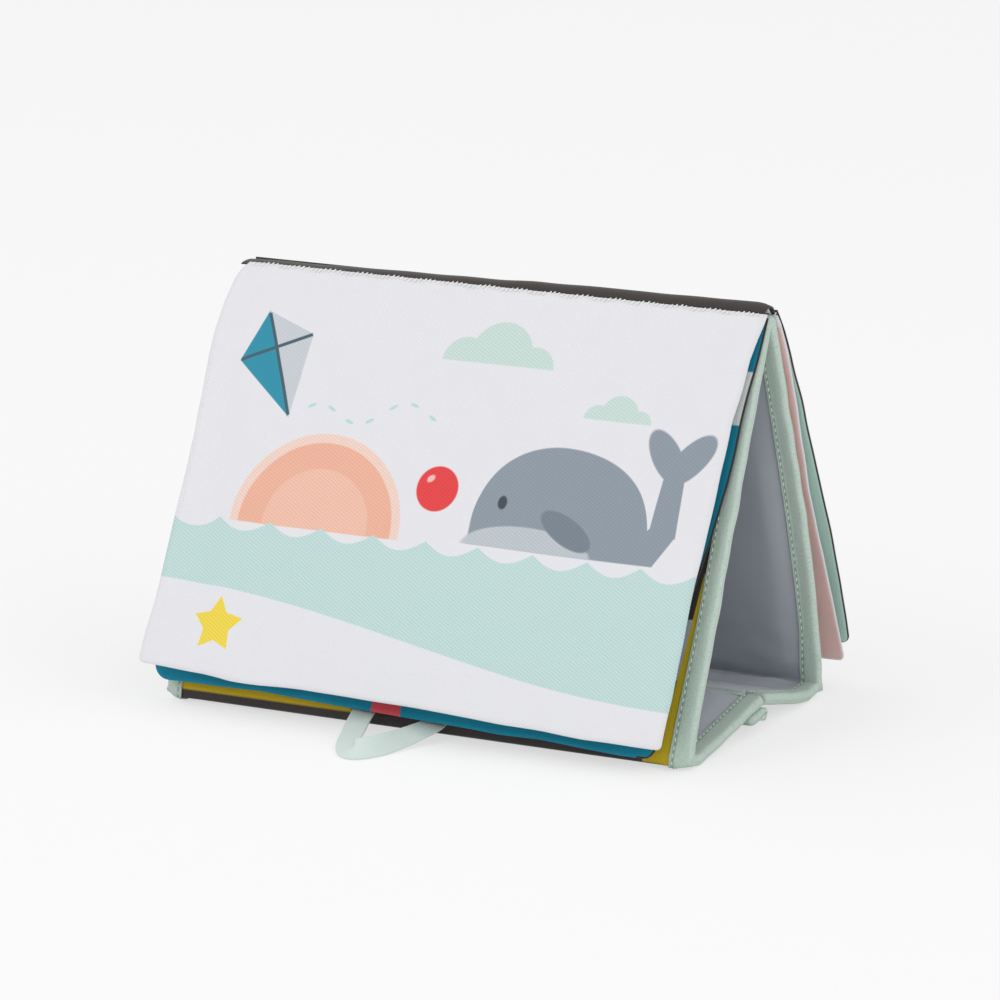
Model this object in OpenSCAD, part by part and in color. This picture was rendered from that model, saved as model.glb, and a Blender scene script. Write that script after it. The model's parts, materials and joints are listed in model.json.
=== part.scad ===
// Fold-out cloth baby book, standing as a tent.
// X runs along the ridge, -Y is the front, +Z is up, and the floor is z = 0.
// The origin is the middle of the footprint, on the floor.

/* [Tent] */
// Width of the walls along the ridge
width = 240; // [200:1:280]
// Height of the fold line between the walls, at the middle of their thickness
ridge_height = 172.2; // [150:0.2:190]
// How far the front foot stands in front of the ridge
front_reach = 73.9; // [60:0.5:85]
// How far the rear foot stands behind the ridge
rear_reach = 54.8; // [45:0.2:65]
// Flat length of the front fold on the floor
front_foot = 11; // [9:0.5:16]
// Flat length of the rear fold on the floor
rear_foot = 14; // [12:0.5:20]
// Bend radius of the front fold
front_bend = 3; // [2.8:0.1:4]
// Bend radius of the rear fold
rear_bend = 7; // [4:0.5:8]
// Bend radius of the ridge fold
ridge_bend = 2.6; // [2.4:0.1:4]
// Bend radius where the flaps rise from the floor
lift_bend = 12; // [8:0.5:16]

/* [Base flaps] */
// How far in front of the ridge the front flap ends
front_flap_end = 6; // [2:0.5:12]
// Height of the front flap's end above its foot
front_flap_rise = 6.1; // [5:0.1:9]
// Gap between the bound ends of the two flaps
flap_joint = 1.2; // [0.6:0.2:3]
// Height of the rear flap's end above its foot
rear_flap_rise = 5.5; // [4.5:0.1:8]
// Length of the closure lip under the front flap
lip_overlap = 18; // [14:0.5:26]
// Length of the lip that is sewn under the rear flap
lip_root = 8; // [5:0.5:12]
// Distance of the lip's turn behind the front flap's end
lip_setback = 2; // [1:0.5:4]
// Thickness of the closure lip
lip_t = 1.6; // [1.2:0.1:2.2]
// Depth of each half of the hook-and-loop closure
closure_w = 12; // [8:0.5:13]
// Thickness of each half of the closure
closure_t = 0.7; // [0.5:0.1:1]
// Length of the closure along the ridge
closure_l = 180; // [120:5:190]
// Distance of the closure behind the middle of the lip
closure_inset = 1; // [0:0.5:3]

/* [Layers] */
// Thickness of the outer cloth
cloth_t = 0.7; // [0.5:0.05:0.9]
// Thickness of the satin lining
lining_t = 0.7; // [0.5:0.05:0.9]
// Thickness of the stiffening boards
board_t = 2.2; // [1.6:0.1:2.4]
// Margin of each board to the edge or fold beside it
board_margin = 6; // [4:0.5:12]
// Thickness of the binding tape
tape_t = 0.5; // [0.4:0.05:0.6]
// Width of the binding tape on each face
tape_w = 9; // [7:0.5:12]
// Clearance between pieces that only lie on each other
gap = 0.3; // [0.2:0.05:0.5]

/* [Inner leaves] */
// Thickness of an inner leaf
leaf_t = 1.8; // [1.4:0.1:2.4]
// Distance of the leaves' top edges from the ridge, down the wall
leaf_drop = 7.5; // [6:0.5:12]
// Angle at which the front leaf stands off the front wall
front_leaf_fan = 1.3; // [1:0.1:3]
// Left edge of the front leaf, from the middle of the ridge
front_leaf_left = 122.5; // [100:0.5:140]
// Right edge of the front leaf at its top, from the middle of the ridge
front_leaf_right = 119; // [100:0.5:140]
// Right edge of the front leaf at its lower end
front_leaf_low_right = 107.5; // [95:0.5:140]
// Length of the front leaf at its left edge
front_leaf_left_len = 174.5; // [140:0.5:176]
// Length of the front leaf at its right edge
front_leaf_right_len = 180; // [140:0.5:181]
// Corner radius at the front leaf's lower left
front_leaf_corner = 10; // [3:0.5:15]
// Angle at which the rear leaf stands off the rear wall
rear_leaf_fan = 5.4; // [4:0.1:7]
// Half width of the rear leaf
rear_leaf_half = 119; // [100:0.5:140]
// Length of the rear leaf
rear_leaf_len = 169.5; // [140:0.5:176]
// Corner radius of the leaves and covers
corner_r = 3; // [1:0.5:8]

/* [Covers] */
// Thickness of a cover
cover_t = 2.2; // [1.8:0.1:3]
// Distance of the cover hinges from the ridge, down the wall
hinge_drop = 3.7; // [3:0.1:5]
// Angle at which the front cover stands off the front wall
front_cover_fan = 3.9; // [3:0.1:8]
// Left edge of the front cover, from the middle of the ridge
front_cover_left = 126; // [100:0.5:140]
// Right end of the front cover's top edge
front_cover_top_right = 119.5; // [100:0.5:140]
// Lower right corner of the front cover
front_cover_low_right = 114.5; // [100:0.5:140]
// Length of the front cover at its left edge
front_cover_left_len = 173.5; // [140:0.5:176]
// Length of the front cover at its right edge
front_cover_right_len = 180.5; // [140:0.5:183]
// Corner radius where the front cover leaves the spine
front_cover_shoulder = 10; // [4:0.5:14]
// Angle at which the rear cover stands off the rear wall
rear_cover_fan = 6.2; // [5.5:0.1:9]
// Half width of the rear cover
rear_cover_half = 121; // [100:0.5:140]
// Length of the rear cover
rear_cover_len = 167.5; // [140:0.5:176]

/* [Spine] */
// Height of the spine strip above the ridge seam
spine_rise = 4.6; // [3.5:0.1:7]
// Thickness of the spine strip
spine_t = 0.9; // [0.6:0.1:1.2]
// Distance of the spine strip's ends inside the rear cover's edges
spine_inset = 0.5; // [0:0.5:4]

/* [Pull loop] */
// Width of the loop's tape
loop_w = 10; // [8:0.5:12]
// Thickness of the loop's tape
loop_t = 0.9; // [0.7:0.1:1.2]
// Distance of the loop's left leg from the middle of the ridge
loop_left = 24.5; // [20:0.5:34]
// Distance of the loop's right leg from the middle of the ridge
loop_right = 3; // [0:0.5:12]
// How far the loop reaches out in front of the foot
loop_reach = 48; // [40:1:58]
// Height at which the legs leave the foot
loop_root_z = 3.6; // [3:0.2:4]
// Length of the right binding's loose tail, folded under the base
tail_l = 16; // [12:0.5:20]

/* [Print] */
// Thickness at which the printed fields are drawn
print_t = 0.25; // [0.15:0.05:0.4]
// Bare hem beside a printed field
hem = 2; // [1:0.5:4]
// Height of the dark band at the foot of the front wall
foot_band = 9; // [6:0.5:14]
// Height of the sea's top line above the front cover's lower edge
sea_level = 62; // [50:1:75]
// Height of the sea's lower line at the right, above the lower edge
sea_floor = 20; // [14:1:30]
// Pitch of the wave crests
wave_pitch = 24; // [16:1:40]
// Height of the wave crests
wave_h = 5; // [3:0.5:8]
// Height of the swell under the sea
swell_h = 14; // [8:1:18]
// Radius of the setting sun
sun_r = 39; // [25:1:42]
// Place of the sun along the cover
sun_x = -58; // [-75:1:-50]
// Length of the whale's body
whale_l = 84; // [60:1:95]
// Height of the whale's body
whale_h = 44; // [34:1:50]
// Place of the whale along the cover
whale_x = 48; // [40:1:52]
// Height of the kite
kite_h = 48; // [36:1:54]
// Place of the kite along the cover
kite_x = -92; // [-96:1:-84]
// Depth of the kite's middle below the hinge
kite_drop = 38; // [34:1:44]
// Length of the large cloud
cloud_l = 52; // [40:1:60]
// Place of the large cloud along the cover
cloud_x = 8; // [0:1:12]
// Depth of the large cloud's base below the hinge
cloud_drop = 32; // [28:1:36]
// Length of the small cloud
small_cloud_l = 31; // [24:1:36]
// Place of the small cloud along the cover
small_cloud_x = 66; // [56:1:80]
// Depth of the small cloud's base below the hinge
small_cloud_drop = 50; // [44:1:54]
// Radius of the star
star_r = 12; // [9:0.5:13]
// Place of the star along the cover
star_x = -92; // [-100:1:-80]
// Height of the star's middle above the lower edge
star_rise = 17; // [15:1:20]
// Radius of the ball
ball_r = 9.5; // [7:0.5:12]
// Place of the ball along the cover
ball_x = -6; // [-8:1:0]
// Height of the ball's middle above the sea
ball_rise = 22; // [18:1:26]
// Left edge of the small coral patch on the front leaf
coral_x = -21; // [-30:1:-10]
// Width of the small coral patch
coral_w = 14; // [10:1:20]
// Height of the small coral patch
coral_h = 26; // [20:1:34]
// Side of the large coral square
square_side = 34; // [24:1:44]
// Left edge of the large coral square
square_x = -90; // [-105:1:-60]
// Height of the large coral square above the leaf's lower edge
square_rise = 70; // [40:1:90]
// Width of the white field under the leaf's top edge
field_w = 38; // [20:1:50]
// Height of the white field under the leaf's top edge
field_h = 20; // [12:1:30]
// Depth of that field's lower edge below the leaf's top
field_drop = 40; // [30:1:60]
// Side of the white square on the front leaf
page_side = 60; // [40:1:70]
// Left edge of the white square
page_x = 10; // [0:1:40]
// Depth of the white square's lower edge below the leaf's top
page_drop = 130; // [110:1:150]

/* [Hidden] */

mint = "#b9cbbf";
charcoal = "#3b3634";
mustard = "#c8b020";
lavender = "#b9bed0";
satin = "#8a9096";
board_grey = "#b8b8b4";
white_cloth = "#ececee";
aqua = "#c5dddd";
peach = "#f2b9a1";
cloud_mint = "#cde2db";
whale_grey = "#96a1ab";
fin_grey = "#6b7480";
teal = "#1d7f99";
pink = "#d9a9a3";
leaf_mint = "#a9c8bb";
yellow = "#f0d840";
red = "#e2484b";
coral = "#c9484f";

arc_steps = 8;

// The strip of wall and flap panels is drawn along the middle of its thickness.
panel_half = board_t / 2 + max(cloth_t, lining_t);
outer_half = board_t / 2 + cloth_t;
inner_half = board_t / 2 + lining_t;
bound_half = outer_half + tape_t;
foot_z = bound_half;
half_w = width / 2;
spine_half = rear_cover_half - spine_inset;

front_lean = atan(front_reach / (ridge_height - foot_z));
rear_lean = atan(rear_reach / (ridge_height - foot_z));
ridge_point = [0, ridge_height];
front_fold = [-front_reach, foot_z];
rear_fold = [rear_reach, foot_z];
front_lift = [-front_reach + front_foot, foot_z];
rear_lift = [rear_reach - rear_foot, foot_z];
front_end = [-front_flap_end, foot_z + front_flap_rise];
rear_end = [-front_flap_end + 2 * tape_t + flap_joint, foot_z + rear_flap_rise];

function unit(v) = v / norm(v);
function left_of(v) = [-v[1], v[0]];
function right_of(v) = [v[1], -v[0]];
function mix(a, b, t) = a + (b - a) * t;

// Places along a rounded fold: each is a point and the normal that points out of the tent.
function fold(a, p, b, r) =
    let (u = unit(p - a), w = unit(b - p), turn = cross(u, w), angle = atan2(turn, u * w),
         side = sign(angle), reach = r * tan(abs(angle) / 2), start = p - u * reach,
         centre = start + left_of(u) * r * side, spoke = start - centre)
    [for (i = [0:arc_steps]) let (t = angle * i / arc_steps,
        s = [spoke[0] * cos(t) - spoke[1] * sin(t), spoke[0] * sin(t) + spoke[1] * cos(t)])
        [centre + s, unit(s) * -side]];
function straight(a, b, t) = [[mix(a, b, t), left_of(unit(b - a))]];
// The outline between two distances out of the fold line, run past both of its ends by a length.
function band(places, lo, hi, past = 0) = let (
    n = len(places) - 1,
    a = right_of(places[0][1]) * -past,
    b = right_of(places[n][1]) * past)
    concat([for (i = [0:n]) places[i][0] + places[i][1] * lo + (i == 0 ? a : i == n ? b : [0, 0])],
        [for (i = [n:-1:0]) places[i][0] + places[i][1] * hi + (i == 0 ? a : i == n ? b : [0, 0])]);
function part_of(list, from, to) = [for (i = [from:to]) list[i]];

front_lift_fold = fold(front_end, front_lift, front_fold, lift_bend);
front_foot_fold = fold(front_lift, front_fold, ridge_point, front_bend);
ridge_fold = fold(front_fold, ridge_point, rear_fold, ridge_bend);
rear_foot_fold = fold(ridge_point, rear_fold, rear_lift, rear_bend);
rear_lift_fold = fold(rear_fold, rear_lift, rear_end, lift_bend);
mid = arc_steps / 2;
front_flap_places = concat(straight(front_end, front_lift, 0), front_lift_fold,
    part_of(front_foot_fold, 0, mid));
front_wall_places = concat(part_of(front_foot_fold, mid, arc_steps), part_of(ridge_fold, 0, mid));
rear_wall_places = concat(part_of(ridge_fold, mid, arc_steps), part_of(rear_foot_fold, 0, mid));
rear_flap_places = concat(part_of(rear_foot_fold, mid, arc_steps), rear_lift_fold,
    straight(rear_lift, rear_end, 1));
strip_places = concat(straight(front_end, front_lift, 0), front_lift_fold, front_foot_fold,
    ridge_fold, rear_foot_fold, rear_lift_fold, straight(rear_lift, rear_end, 1));

// Directions down each wall and out of it.
front_down = unit(front_fold - ridge_point);
rear_down = unit(rear_fold - ridge_point);
front_out = left_of(-front_down);
rear_out = left_of(rear_down);

// Leaves and covers hang from lines just outside the bound walls.
leaf_off = bound_half + gap + leaf_t / 2;
hinge_off = bound_half + 2 * gap + leaf_t + cover_t / 2;
front_leaf_top = ridge_point + front_down * leaf_drop + front_out * leaf_off;
rear_leaf_top = ridge_point + rear_down * leaf_drop + rear_out * leaf_off;
front_hinge = ridge_point + front_down * hinge_drop + front_out * hinge_off;
rear_hinge = ridge_point + rear_down * hinge_drop + rear_out * hinge_off;

// The front flap's underside carries the closure, and the rear flap's lip lies under it.
front_flap_dir = unit(front_lift - front_end);
front_flap_down = left_of(front_flap_dir);
rear_flap_dir = unit(rear_lift - rear_end);
rear_flap_down = -left_of(rear_flap_dir);
lip_off = outer_half + 2 * closure_t + lip_t / 2;
lip_turn = front_end + front_flap_down * lip_off + front_flap_dir * lip_setback;
lip_tip = lip_turn + front_flap_dir * lip_overlap;
lip_start = rear_end + rear_flap_dir * lip_root + rear_flap_down * (outer_half + lip_t / 2);
lip_bend = 2.4;

// The loop leaves the round of the foot fold and turns back at its tip.
floor_gap = 0.05;
foot_middle = front_foot_fold[0][0] + [0, front_bend];
root_y = foot_middle[0] - sqrt(pow(front_bend + outer_half, 2) - pow(foot_middle[1] - loop_root_z, 2))
    - floor_gap;
tip_y = front_fold[0] - loop_reach;

// The footprint, which puts the origin in its middle.
front_y = tip_y - loop_t / 2;
rear_bottom = rear_hinge
    + [sin(rear_lean + rear_cover_fan), -cos(rear_lean + rear_cover_fan)] * rear_cover_len;
rear_y = rear_bottom[0] + cos(rear_lean + rear_cover_fan) * cover_t / 2;
x_left = max(front_cover_left, front_leaf_left, rear_leaf_half, rear_cover_half, spine_half, half_w);
x_right = max(front_cover_top_right, front_leaf_right, front_leaf_low_right, rear_leaf_half,
    rear_cover_half, spine_half, half_w);
x_shift = (x_left - x_right) / 2;
y_shift = -(front_y + rear_y) / 2;

// Moves a piece from the ridge's frame to the part's own.
module place() {
    translate([x_shift, y_shift, 0]) children();
}

// Extrudes a Y-Z outline along X, from one X to another.
module along_x(x0, x1) {
    translate([x0, 0, 0]) rotate([90, 0, 90]) linear_extrude(x1 - x0) children();
}

module layer(places, lo, hi, half) {
    place() along_x(-half, half) polygon(band(places, lo, hi));
}

module front_wall_cloth() {
    color(charcoal) layer(front_wall_places, board_t / 2, outer_half, half_w - tape_t);
}

module rear_wall_cloth() {
    color(charcoal) layer(rear_wall_places, board_t / 2, outer_half, half_w - tape_t);
}

module front_flap_cloth() {
    color(charcoal) layer(front_flap_places, board_t / 2, outer_half, half_w - tape_t);
}

module rear_flap_cloth() {
    color(charcoal) layer(rear_flap_places, board_t / 2, outer_half, half_w - tape_t);
}

module lining() {
    color(satin) layer(strip_places, -inner_half, -board_t / 2, half_w - tape_t);
}

// A stiff board between two folds, held back from each by a margin.
module board(a, b, start, end) {
    u = unit(b - a);
    n = left_of(u) * board_t / 2;
    p = a + u * start;
    q = b - u * end;
    color(board_grey) place()
        along_x(board_margin + tape_w - half_w, half_w - tape_w - board_margin)
            polygon([p - n, q - n, q + n, p + n]);
}

module front_wall_board() {
    board(front_fold, ridge_point, board_margin + front_bend, board_margin + ridge_bend);
}

module rear_wall_board() {
    board(ridge_point, rear_fold, board_margin + ridge_bend, board_margin + rear_bend);
}

module front_flap_board() {
    board(front_end, front_lift, board_margin / 2, board_margin / 2);
}

module rear_flap_board() {
    board(rear_lift, rear_end, board_margin / 2, board_margin / 2);
}

// Tape folded over one end of the strip, with a band on each face.
module side_binding() {
    color(mint) place() difference() {
        along_x(half_w - tape_w, half_w) polygon(band(strip_places, -inner_half - tape_t, bound_half));
        along_x(half_w - 2 * tape_w, half_w - tape_t)
            polygon(band(strip_places, -inner_half, outer_half, 1));
    }
}

module right_binding() {
    side_binding();
}

module left_binding() {
    translate([2 * x_shift, 0, 0]) mirror([1, 0, 0]) side_binding();
}

// Tape folded over the free end of a flap, between the side bindings.
module end_binding(end, u, n, under_w) {
    over = end + u * (tape_w - tape_t);
    under = end + u * under_w;
    lip = end - u * tape_t;
    color(mint) place() along_x(tape_w - half_w, half_w - tape_w)
        polygon([
            under + n * outer_half, under + n * bound_half, lip + n * bound_half,
            lip - n * (inner_half + tape_t), over - n * (inner_half + tape_t),
            over - n * inner_half, end - n * inner_half, end + n * outer_half
        ]);
}

module front_flap_binding() {
    end_binding(front_end, front_flap_dir, front_flap_down, 2);
}

module rear_flap_binding() {
    end_binding(rear_end, rear_flap_dir, rear_flap_down, 2);
}

// The soft end of the rear flap, which closes under the front flap.
module closure_lip() {
    places = concat(
        straight(lip_start, lip_turn, 0),
        fold(lip_start, lip_turn, lip_tip, lip_bend),
        straight(lip_turn, lip_tip, 1));
    color(charcoal) layer(places, -lip_t / 2, lip_t / 2, half_w - tape_w);
}

// One half of the hook-and-loop closure, at its distance below the front flap.
module closure_half(off) {
    u = front_flap_dir;
    p = front_end + front_flap_down * off
        + u * (lip_setback + (lip_overlap - closure_w) / 2 + closure_inset);
    q = p + u * closure_w;
    n = front_flap_down * closure_t;
    place() along_x(-closure_l / 2, closure_l / 2) polygon([p, q, q + n, p + n]);
}

module hook_strip() {
    color("#8f8f8c") closure_half(outer_half);
}

module loop_strip() {
    color("#c4c4c0") closure_half(outer_half + closure_t);
}

// The loose end of the right binding, folded back under the base and down to the floor.
module binding_tail() {
    top = front_end + front_flap_down * (bound_half + gap / 2);
    tip = top + front_flap_dir * tail_l;
    color(mint) place() along_x(half_w - tape_w + tape_t, half_w + 2 * tape_t)
        polygon([tip, [tip[0] + tail_l * 0.4, 2 * tape_t], [top[0] - 2 * tape_t, floor_gap],
                 [top[0] + 4 * tape_t, tape_t], [top[0] + 3 * tape_t, top[1] - 2 * tape_t], top]);
}

// The loop's route as [x, y, z, roll]: the tape lies flat where it leaves the foot, under the
// leaf's lower edge, and stands on edge at its turn.
function lie(roll) = loop_w / 2 * abs(sin(roll)) + loop_t / 2 * abs(cos(roll));
loop_tip_x = mix(-loop_left, loop_right, 0.75);
loop_route = [
    [-loop_left, root_y, loop_root_z, 8],
    [-loop_left + 1, mix(root_y, tip_y, 0.16), loop_root_z, 12],
    [mix(-loop_left, loop_tip_x, 0.38), mix(root_y, tip_y, 0.52), lie(45), 45],
    [mix(-loop_left, loop_tip_x, 0.72), mix(root_y, tip_y, 0.82), lie(78), 78],
    [loop_tip_x, tip_y, lie(90), 90],
    [mix(loop_tip_x, loop_right, 0.6), mix(root_y, tip_y, 0.87), lie(92), 92],
    [loop_right + 2, mix(root_y, tip_y, 0.58), lie(97), 97],
    [loop_right + 3, mix(root_y, tip_y, 0.38), lie(125), 125],
    [loop_right + 1, mix(root_y, tip_y, 0.16), loop_root_z, 166],
    [loop_right, root_y, loop_root_z, 172]
];
function spline(a, b, c, d, t) = 0.5 * (2 * b + (c - a) * t + (2 * a - 5 * b + 4 * c - d) * t * t
    + (3 * b - a - 3 * c + d) * t * t * t);
loop_steps = 4;
loop_last = len(loop_route) - 1;
loop_places = concat([for (i = [0:loop_last - 1]) for (j = [0:loop_steps - 1])
    spline(loop_route[max(i - 1, 0)], loop_route[i], loop_route[i + 1],
           loop_route[min(i + 2, loop_last)], j / loop_steps)], [loop_route[loop_last]]);
// A point of the route, with the tape's lower edge no lower than the floor.
function spot(p) = [p[0], p[1], max(p[2], lie(p[3]) + floor_gap)];

module pull_loop() {
    n = len(loop_places);
    rings = [for (i = [0:n - 1])
        let (p = loop_places[i],
             ahead = unit(spot(loop_places[min(i + 1, n - 1)]) - spot(loop_places[max(i - 1, 0)])),
             flat = unit(cross(ahead, [0, 0, 1])), rise = cross(flat, ahead),
             across = flat * cos(p[3]) + rise * sin(p[3]), face = cross(across, ahead))
        for (k = [[-1, -1], [1, -1], [1, 1], [-1, 1]])
            spot(p) + across * k[0] * loop_w / 2 + face * k[1] * loop_t / 2];
    sides = [for (i = [0:n - 2]) for (k = [0:3])
        let (a = i * 4 + k, b = i * 4 + (k + 1) % 4) for (f = [[a, b, b + 4], [a, b + 4, a + 4]]) f];
    last = (n - 1) * 4;
    ends = [[2, 1, 0], [3, 2, 0], [last, last + 1, last + 2], [last, last + 2, last + 3]];
    color(mint) place() polyhedron(rings, concat(sides, ends));
}

// The gathered top hems of the leaves, sewn along the ridge under the spine strip.
seam_low = ridge_height - (1 / sin((front_lean + rear_lean) / 2) - 1) * ridge_bend + bound_half + gap;
seam_top = seam_low + spine_rise - spine_t;
spine_front = front_hinge[0] + cover_t / 2 + gap;
spine_rear = rear_hinge[0] - cover_t / 2 - gap;

function arch(y0, y1, z0, z1) =
    [for (i = [0:2 * arc_steps]) let (t = 180 - 90 * i / arc_steps)
        [(y0 + y1) / 2 + (y1 - y0) / 2 * cos(t), z0 + (z1 - z0) * sin(t)]];

module ridge_seam() {
    inset = spine_t + 0.1;
    color(white_cloth) place() along_x(2 - spine_half, spine_half - 1)
        polygon(arch(spine_front + inset, spine_rear - inset, seam_low, seam_top - 0.1));
}

module spine_strip() {
    outer = arch(spine_front, spine_rear, seam_low, seam_low + spine_rise);
    inner = arch(spine_front + spine_t, spine_rear - spine_t, seam_low, seam_top);
    color(charcoal) place() along_x(-spine_half, spine_half)
        polygon(concat(outer, [for (i = [len(inner) - 1:-1:0]) inner[i]]));
}

// Stands a flat drawing on the front: x stays, y runs up the leaf to its top edge, z faces out.
module on_front(top, lean) {
    place() translate([0, top[0], top[1]]) rotate([90 - lean, 0, 0]) children();
}

// The same on the rear, with z facing out at the back.
module on_rear(top, lean) {
    place() translate([0, top[0], top[1]]) mirror([0, 1, 0]) rotate([90 - lean, 0, 0]) children();
}

// An outline with its corners rounded, each by its own radius, going clockwise.
function rounded(pts, radii) = let (n = len(pts)) [for (i = [0:n - 1])
    let (p = pts[i], u = unit(pts[(i + n - 1) % n] - p), w = unit(pts[(i + 1) % n] - p),
         half = acos(u * w) / 2, reach = radii[i] / tan(half),
         centre = p + unit(u + w) * radii[i] / sin(half),
         a = atan2((p + u * reach - centre)[1], (p + u * reach - centre)[0]), span = 180 - 2 * half)
    for (k = [0:arc_steps / 2])
        centre + radii[i] * [cos(a - span * k * 2 / arc_steps), sin(a - span * k * 2 / arc_steps)]];

// Half of a sewn leaf: one of its two cloths, from the middle out to one side.
module leaf_half(t, side) {
    translate([0, 0, side > 0 ? 0 : -t / 2]) linear_extrude(t / 2) children();
}

module front_leaf_outline() {
    polygon(rounded([[-front_leaf_left, 0], [front_leaf_right, 0],
        [front_leaf_low_right, -front_leaf_right_len], [-front_leaf_left, -front_leaf_left_len]],
        [1, 1, corner_r + 1, front_leaf_corner]));
}

module rear_leaf_outline() {
    polygon(rounded([[-rear_leaf_half, 0], [rear_leaf_half, 0],
        [rear_leaf_half, -rear_leaf_len], [-rear_leaf_half, -rear_leaf_len]],
        [1, 1, corner_r, corner_r]));
}

module front_leaf_face() {
    color(teal) on_front(front_leaf_top, front_lean + front_leaf_fan)
        leaf_half(leaf_t, 1) front_leaf_outline();
}

module front_leaf_back() {
    color(charcoal) on_front(front_leaf_top, front_lean + front_leaf_fan)
        leaf_half(leaf_t, -1) front_leaf_outline();
}

module rear_leaf_face() {
    color(pink) on_rear(rear_leaf_top, rear_lean + rear_leaf_fan)
        leaf_half(leaf_t, -1) rear_leaf_outline();
}

module rear_leaf_back() {
    color(white_cloth) on_rear(rear_leaf_top, rear_lean + rear_leaf_fan)
        leaf_half(leaf_t, 1) rear_leaf_outline();
}

// One cloth of a cover with its half of the rolled top edge, whose middle is the hinge line.
module cover_half(t, side, x0, x1) {
    leaf_half(t, side) children();
    intersection() {
        translate([x0, 0, 0]) rotate([0, 90, 0]) cylinder(r = t / 2, h = x1 - x0, $fn = 32);
        translate([x0 - 1, -t, side > 0 ? 0 : -t]) cube([x1 - x0 + 2, 2 * t, t]);
    }
}

module front_cover_outline() {
    polygon(rounded([[-front_cover_left, 0], [front_cover_top_right, 0],
        [front_cover_low_right, -front_cover_right_len], [-front_cover_left, -front_cover_left_len]],
        [front_cover_shoulder, 0.8, corner_r, corner_r]));
}

module front_cover_part(side) {
    on_front(front_hinge, front_lean + front_cover_fan)
        cover_half(cover_t, side, front_cover_shoulder - front_cover_left, front_cover_top_right - 0.8)
            front_cover_outline();
}

module front_cover_face() {
    color(white_cloth) front_cover_part(1);
}

module front_cover_back() {
    color(cloud_mint) front_cover_part(-1);
}

module rear_cover_outline() {
    polygon(rounded([[-rear_cover_half, 0], [rear_cover_half, 0],
        [rear_cover_half, -rear_cover_len], [-rear_cover_half, -rear_cover_len]],
        [1, 1, corner_r, corner_r]));
}

module rear_cover_part(side) {
    on_rear(rear_hinge, rear_lean + rear_cover_fan)
        cover_half(cover_t, side, 1 - rear_cover_half, rear_cover_half - 1) rear_cover_outline();
}

module rear_cover_face() {
    color(leaf_mint) rear_cover_part(-1);
}

module rear_cover_back() {
    color(charcoal) rear_cover_part(1);
}

// Printed fields on the front wall, drawn up from the foot fold.
module on_wall() {
    place() translate([0, front_fold[0], front_fold[1]]) rotate([90 - front_lean, 0, 0])
        translate([0, 0, outer_half]) linear_extrude(print_t) children();
}

wall_len = norm(front_fold - ridge_point);
field_half = half_w - tape_w - 1;

module wall_yellow() {
    color(mustard) on_wall() {
        translate([-field_half, foot_band]) square([field_half * 0.8, wall_len * 0.5]);
        translate([field_half * 0.35, foot_band]) square([field_half * 0.65, wall_len * 0.38]);
    }
}

module wall_lavender() {
    color(lavender) on_wall() translate([0, wall_len * 0.6])
        square([field_half * 0.9, wall_len * 0.22]);
}

// Printed fields on the front leaf, drawn down from its top edge.
module on_front_leaf() {
    on_front(front_leaf_top, front_lean + front_leaf_fan)
        translate([0, 0, leaf_t / 2]) linear_extrude(print_t) children();
}

leaf_low = -min(front_leaf_left_len, front_leaf_right_len);

module leaf_coral() {
    color(coral) on_front_leaf() {
        translate([coral_x, leaf_low + corner_r]) square([coral_w, coral_h]);
        translate([square_x, leaf_low + square_rise]) square(square_side);
    }
}

// The leaf's right edge leans in, and this field ends a hem inside it.
leaf_slant = (front_leaf_right - front_leaf_low_right) / front_leaf_right_len;

module leaf_white() {
    color(white_cloth) on_front_leaf() {
        translate([front_leaf_right - leaf_slant * field_drop - hem - field_w, -field_drop])
            square([field_w, field_h]);
        translate([page_x, -page_drop]) square(page_side);
    }
}

// Printed shapes on the front cover, drawn from its lower edge up.
cover_low = -front_cover_left_len;
cover_left = -front_cover_left;
cover_right = front_cover_low_right;

module on_cover() {
    on_front(front_hinge, front_lean + front_cover_fan)
        translate([0, 0, cover_t / 2]) linear_extrude(print_t) children();
}

print_gap = 0.5;

// Sea with a scalloped top line and a long swell below.
function sea_top(x) = cover_low + sea_level - wave_h * abs(sin(180 * (x - cover_left) / wave_pitch));
function sea_bottom(x) = cover_low + sea_floor
    + swell_h * cos(180 * (x - cover_left) / (cover_right - cover_left));
sea_x0 = cover_left + hem;
sea_x1 = cover_right - hem;
sea_steps = 80;

module print_sea() {
    xs = [for (i = [0:sea_steps]) mix(sea_x0, sea_x1, i / sea_steps)];
    color(aqua) on_cover() polygon(concat([for (x = xs) [x, sea_top(x)]],
        [for (i = [sea_steps:-1:0]) [xs[i], sea_bottom(xs[i])]]));
}

module print_sun() {
    low = cover_low + sea_level + print_gap;
    color(peach) on_cover()
        polygon([for (i = [0:40]) [sun_x + sun_r * cos(180 * i / 40), low + sun_r * sin(180 * i / 40)]]);
}

// A cloud with a flat base and three round heaps.
module cloud(l) {
    intersection() {
        union() {
            translate([-l * 0.28, 0]) circle(r = l * 0.2, $fn = 40);
            translate([l * 0.02, l * 0.08]) circle(r = l * 0.27, $fn = 40);
            translate([l * 0.32, 0]) circle(r = l * 0.17, $fn = 40);
        }
        translate([-l, 0]) square([2 * l, l]);
    }
}

module print_clouds() {
    color(cloud_mint) on_cover() {
        translate([cloud_x, -cloud_drop]) cloud(cloud_l);
        translate([small_cloud_x, -small_cloud_drop]) cloud(small_cloud_l);
    }
}

// A whale with a round back, a flat belly at the water line and a raised tail.
whale_z = cover_low + sea_level + 2 * print_gap;

function oval(a, b) = [for (i = [0:19]) [a * cos(18 * i), b * sin(18 * i)]];

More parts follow.
